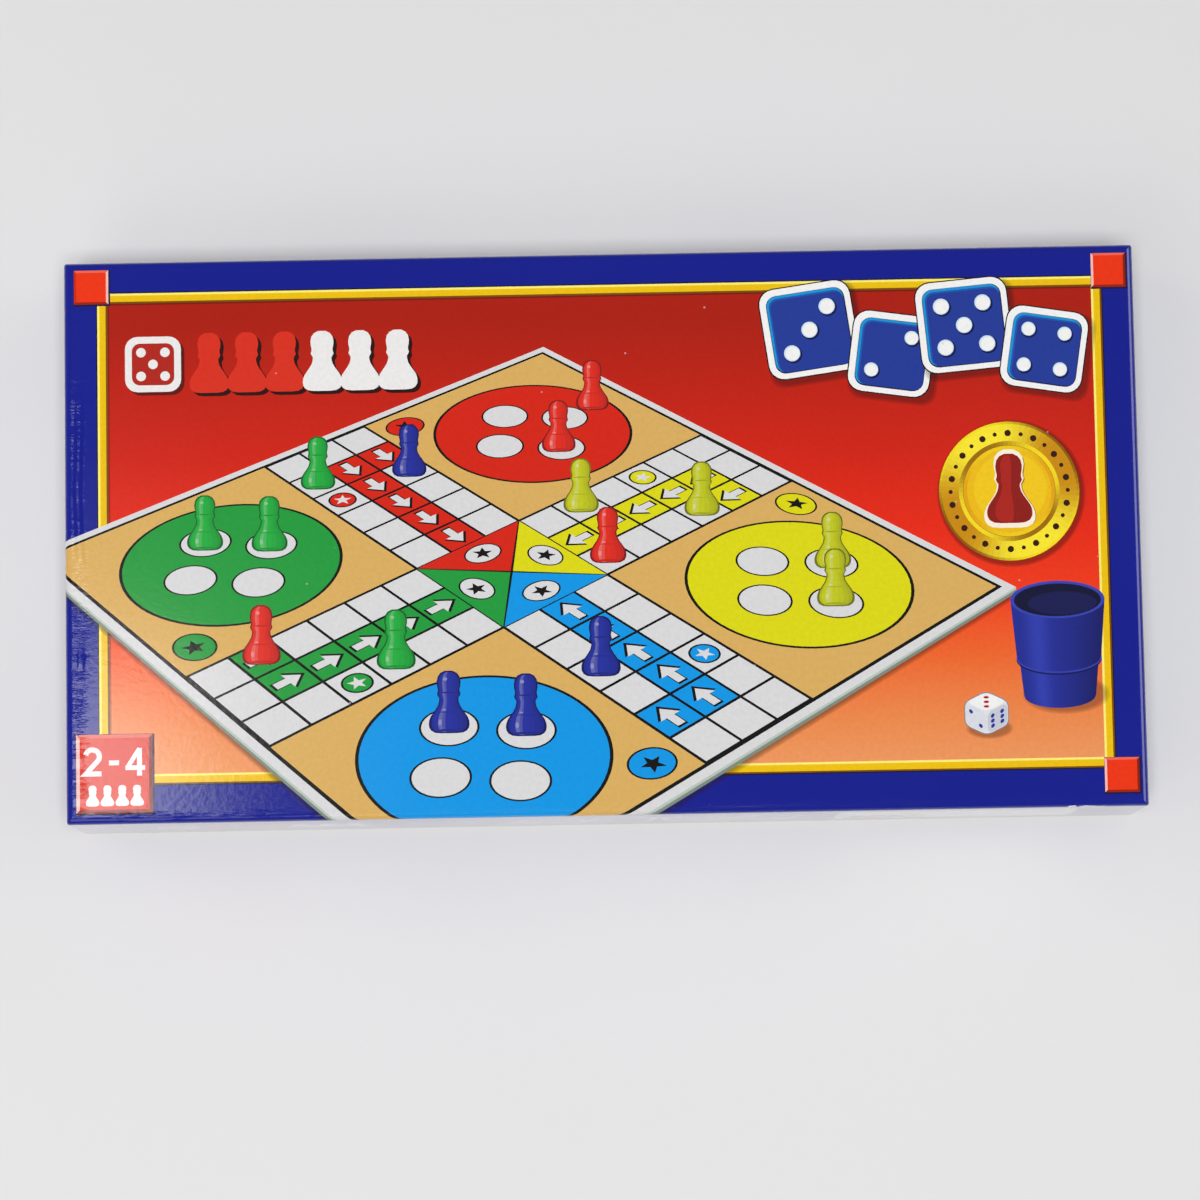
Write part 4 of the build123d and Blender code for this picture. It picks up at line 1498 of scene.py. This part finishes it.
class LUDO_OT_die(bpy.types.Operator):
    """Rounds a cube into the die and sinks its twenty-one pips"""

    bl_idname = "ludo.die"
    bl_label = "Die"

    def pip_places(self, play):
        """The middle of each ball that sinks a pip, and the number of its side."""
        middle, half = (die_low + die_high) / 2, (die_high.x - die_low.x) / 2
        pitch = half - play.pip_inset
        for outward, along, value in DIE_SIDES:
            outward, along = Vector(outward), Vector(along)
            other = outward.cross(along)
            for a, b in PIPS[value]:
                out = outward * (half + play.pip - play.pip_depth)
                yield middle + out + along * a * pitch + other * b * pitch, value

    def execute(self, context):
        play = context.scene.play_sizes
        die = block("die_rounded", die_low, die_high)
        with shaping(die):
            pick_edges(die, lambda edge: True)
            bpy.ops.mesh.bevel(offset=play.die_round, segments=7, affect="EDGES")
        balls, spots = [], list(self.pip_places(play))
        for spot, _ in spots:
            bpy.ops.object.select_all(action="DESELECT")
            bpy.ops.mesh.primitive_uv_sphere_add(segments=24, ring_count=12, radius=play.pip, location=spot)
            bpy.ops.object.transform_apply(location=True, rotation=True, scale=True)
            balls.append(bpy.context.object)
        cutter = join(balls[0], balls[1:])
        cut = die.modifiers.new("pips", "BOOLEAN")
        cut.operation = "DIFFERENCE"
        cut.solver = "EXACT"
        cut.object = cutter
        only(die)
        bpy.ops.object.modifier_apply(modifier=cut.name)
        bpy.data.objects.remove(cutter)
        plastic = moulded("die_plastic_white", tuple(context.scene.carton_plastics.die), 0.22, 0.1)
        red = moulded("pip_paint_red", linear("b4141c"), 0.35, 0.0)
        blue = moulded("pip_paint_blue", linear("1c2a96"), 0.35, 0.0)
        finish_with(die, plastic, red, blue)
        # A face lies in a pip where its middle is inside that pip's ball and its corners are on it.
        inside, on_ball = play.pip * 0.999 + 1e-6, play.pip * 1.02
        for face in die.data.polygons:
            corners = [die.data.vertices[k].co for k in face.vertices]
            for spot, value in spots:
                sunk = (face.center - spot).length < inside
                if sunk and all((corner - spot).length < on_ball for corner in corners):
                    face.material_index = 1 if value in RED_NUMBERS else 2
        smooth(die, 35)
        settle(die, "die", "die_plastic", "die")
        return {"FINISHED"}


# ---------------------------------------------------------------- stage

# name, place, width, height, watts, tint, lights the scene, is seen mirrored
LAMPS = (
    ("overhead", (0.0, -0.28, 1.90), 0.45, 0.40, 24.6, (1.0, 1.0, 1.0), True, False),
    ("softbox_front", (-0.60, -0.95, 1.45), 0.9, 0.9, 3.2, (1.0, 0.95, 0.95), True, True),
    ("softbox_right", (1.05, 0.25, 1.35), 0.9, 0.9, 1.7, (0.88, 0.94, 1.0), True, True),
    ("window", (-0.335, 0.030, 1.50), 0.17, 0.18, 0.48, (1.0, 0.97, 0.97), False, True),
    ("fill_left", (-0.90, 0.05, 0.62), 0.9, 0.6, 2.0, (1.0, 0.90, 0.91), True, False),
    ("bright_wall", (0.75, 0.0, 0.75), 1.6, 0.65, 8.5, (0.91, 0.89, 1.0), False, True),
)


def hang_lamp(context, name, place, wide, tall, power, tint, lights, mirrored):
    """A soft rectangular lamp that faces the middle of the table."""
    lamp = bpy.data.lights.new(name, "AREA")
    lamp.shape = "RECTANGLE"
    lamp.size, lamp.size_y = wide, tall
    lamp.energy = power
    lamp.color = tint
    holder = bpy.data.objects.new(name, lamp)
    holder.location = place
    holder.rotation_euler = (-Vector(place)).to_track_quat("-Z", "Y").to_euler()
    holder.visible_diffuse = lights
    holder.visible_glossy = mirrored
    context.collection.objects.link(holder)


def studio_world():
    """A room that is pale at the horizon and darker overhead."""
    world = bpy.data.worlds.new("studio")
    world.use_nodes = True
    tree = world.node_tree
    coords = tree.nodes.new("ShaderNodeTexCoord")
    split = tree.nodes.new("ShaderNodeSeparateXYZ")
    room = tree.nodes.new("ShaderNodeValToRGB")
    stops = ((0.0, 0.36), (0.1, 0.34), (0.3, 0.17), (1.0, 0.15))
    while len(room.color_ramp.elements) < len(stops):
        room.color_ramp.elements.new(0.5)
    for element, (place, light) in zip(room.color_ramp.elements, stops):
        element.position = place
        element.color = (light, light, light * 1.01, 1)
    tree.links.new(coords.outputs["Generated"], split.inputs[0])
    tree.links.new(split.outputs[2], room.inputs["Fac"])
    tree.links.new(room.outputs["Color"], tree.nodes["Background"].inputs["Color"])
    return world


class LUDO_OT_stage(bpy.types.Operator):
    """Lays the table, hangs the soft lights and sets the camera"""

    bl_idname = "ludo.stage"
    bl_label = "Stage"

    def execute(self, context):
        scene = context.scene
        bpy.ops.object.select_all(action="DESELECT")
        bpy.ops.mesh.primitive_grid_add(x_subdivisions=8, y_subdivisions=8, size=16, location=(0, 0, 0))
        table = bpy.context.object
        table.name = "table"
        finish_with(table, table_top())
        for lamp in LAMPS:
            hang_lamp(context, *lamp)
        scene.world = studio_world()
        scene.view_settings.view_transform = "Standard"
        lens = bpy.data.cameras.new("camera")
        lens.lens = 135.3
        lens.sensor_width = 36
        lens.clip_start = 0.01
        camera = bpy.data.objects.new("camera", lens)
        stand = Matrix.Translation((-0.0010, -0.1400, 1.1626))
        tilt, turn = math.radians(6.25), math.radians(-1.04)
        camera.matrix_world = stand @ Matrix.Rotation(tilt, 4, "X") @ Matrix.Rotation(turn, 4, "Z")
        context.collection.objects.link(camera)
        scene.camera = camera
        return {"FINISHED"}


# ---------------------------------------------------------------- panel and start


class LUDO_PT_pieces(bpy.types.Panel):
    """Lists the pieces of the carton, and their sizes and colours"""

    bl_label = "Ludo Carton"
    bl_idname = "LUDO_PT_pieces"
    bl_space_type = "VIEW_3D"
    bl_region_type = "UI"
    bl_category = "Ludo Carton"

    def draw(self, context):
        column = self.layout.column()
        for piece in PIECES:
            column.operator(piece.bl_idname)
        for group in ("carton_sizes", "play_sizes", "carton_inks", "carton_plastics"):
            values = getattr(context.scene, group)
            box = self.layout.box()
            for value in values.__annotations__:
                box.prop(values, value)


PIECES = (
    LUDO_OT_lid,
    LUDO_OT_base,
    LUDO_OT_insert,
    LUDO_OT_board,
    LUDO_OT_hinge_tape,
    LUDO_OT_pawns,
    LUDO_OT_cup,
    LUDO_OT_die,
    LUDO_OT_stage,
)
GROUPS = (
    ("carton_sizes", CartonSizes),
    ("play_sizes", PlaySizes),
    ("carton_inks", Inks),
    ("carton_plastics", Plastics),
)


def register():
    for _, group in GROUPS:
        bpy.utils.register_class(group)
    for name, group in GROUPS:
        setattr(bpy.types.Scene, name, PointerProperty(type=group))
    for kind in PIECES + (LUDO_PT_pieces,):
        bpy.utils.register_class(kind)


def unregister():
    for kind in reversed(PIECES + (LUDO_PT_pieces,)):
        bpy.utils.unregister_class(kind)
    for name, group in reversed(GROUPS):
        delattr(bpy.types.Scene, name)
        bpy.utils.unregister_class(group)


def main():
    register()
    bpy.ops.ludo.lid()
    bpy.ops.ludo.base()
    bpy.ops.ludo.insert()
    bpy.ops.ludo.board()
    bpy.ops.ludo.hinge_tape()
    bpy.ops.ludo.pawns()
    bpy.ops.ludo.cup()
    bpy.ops.ludo.die()
    bpy.ops.ludo.stage()


if __name__ == "__main__":
    main()
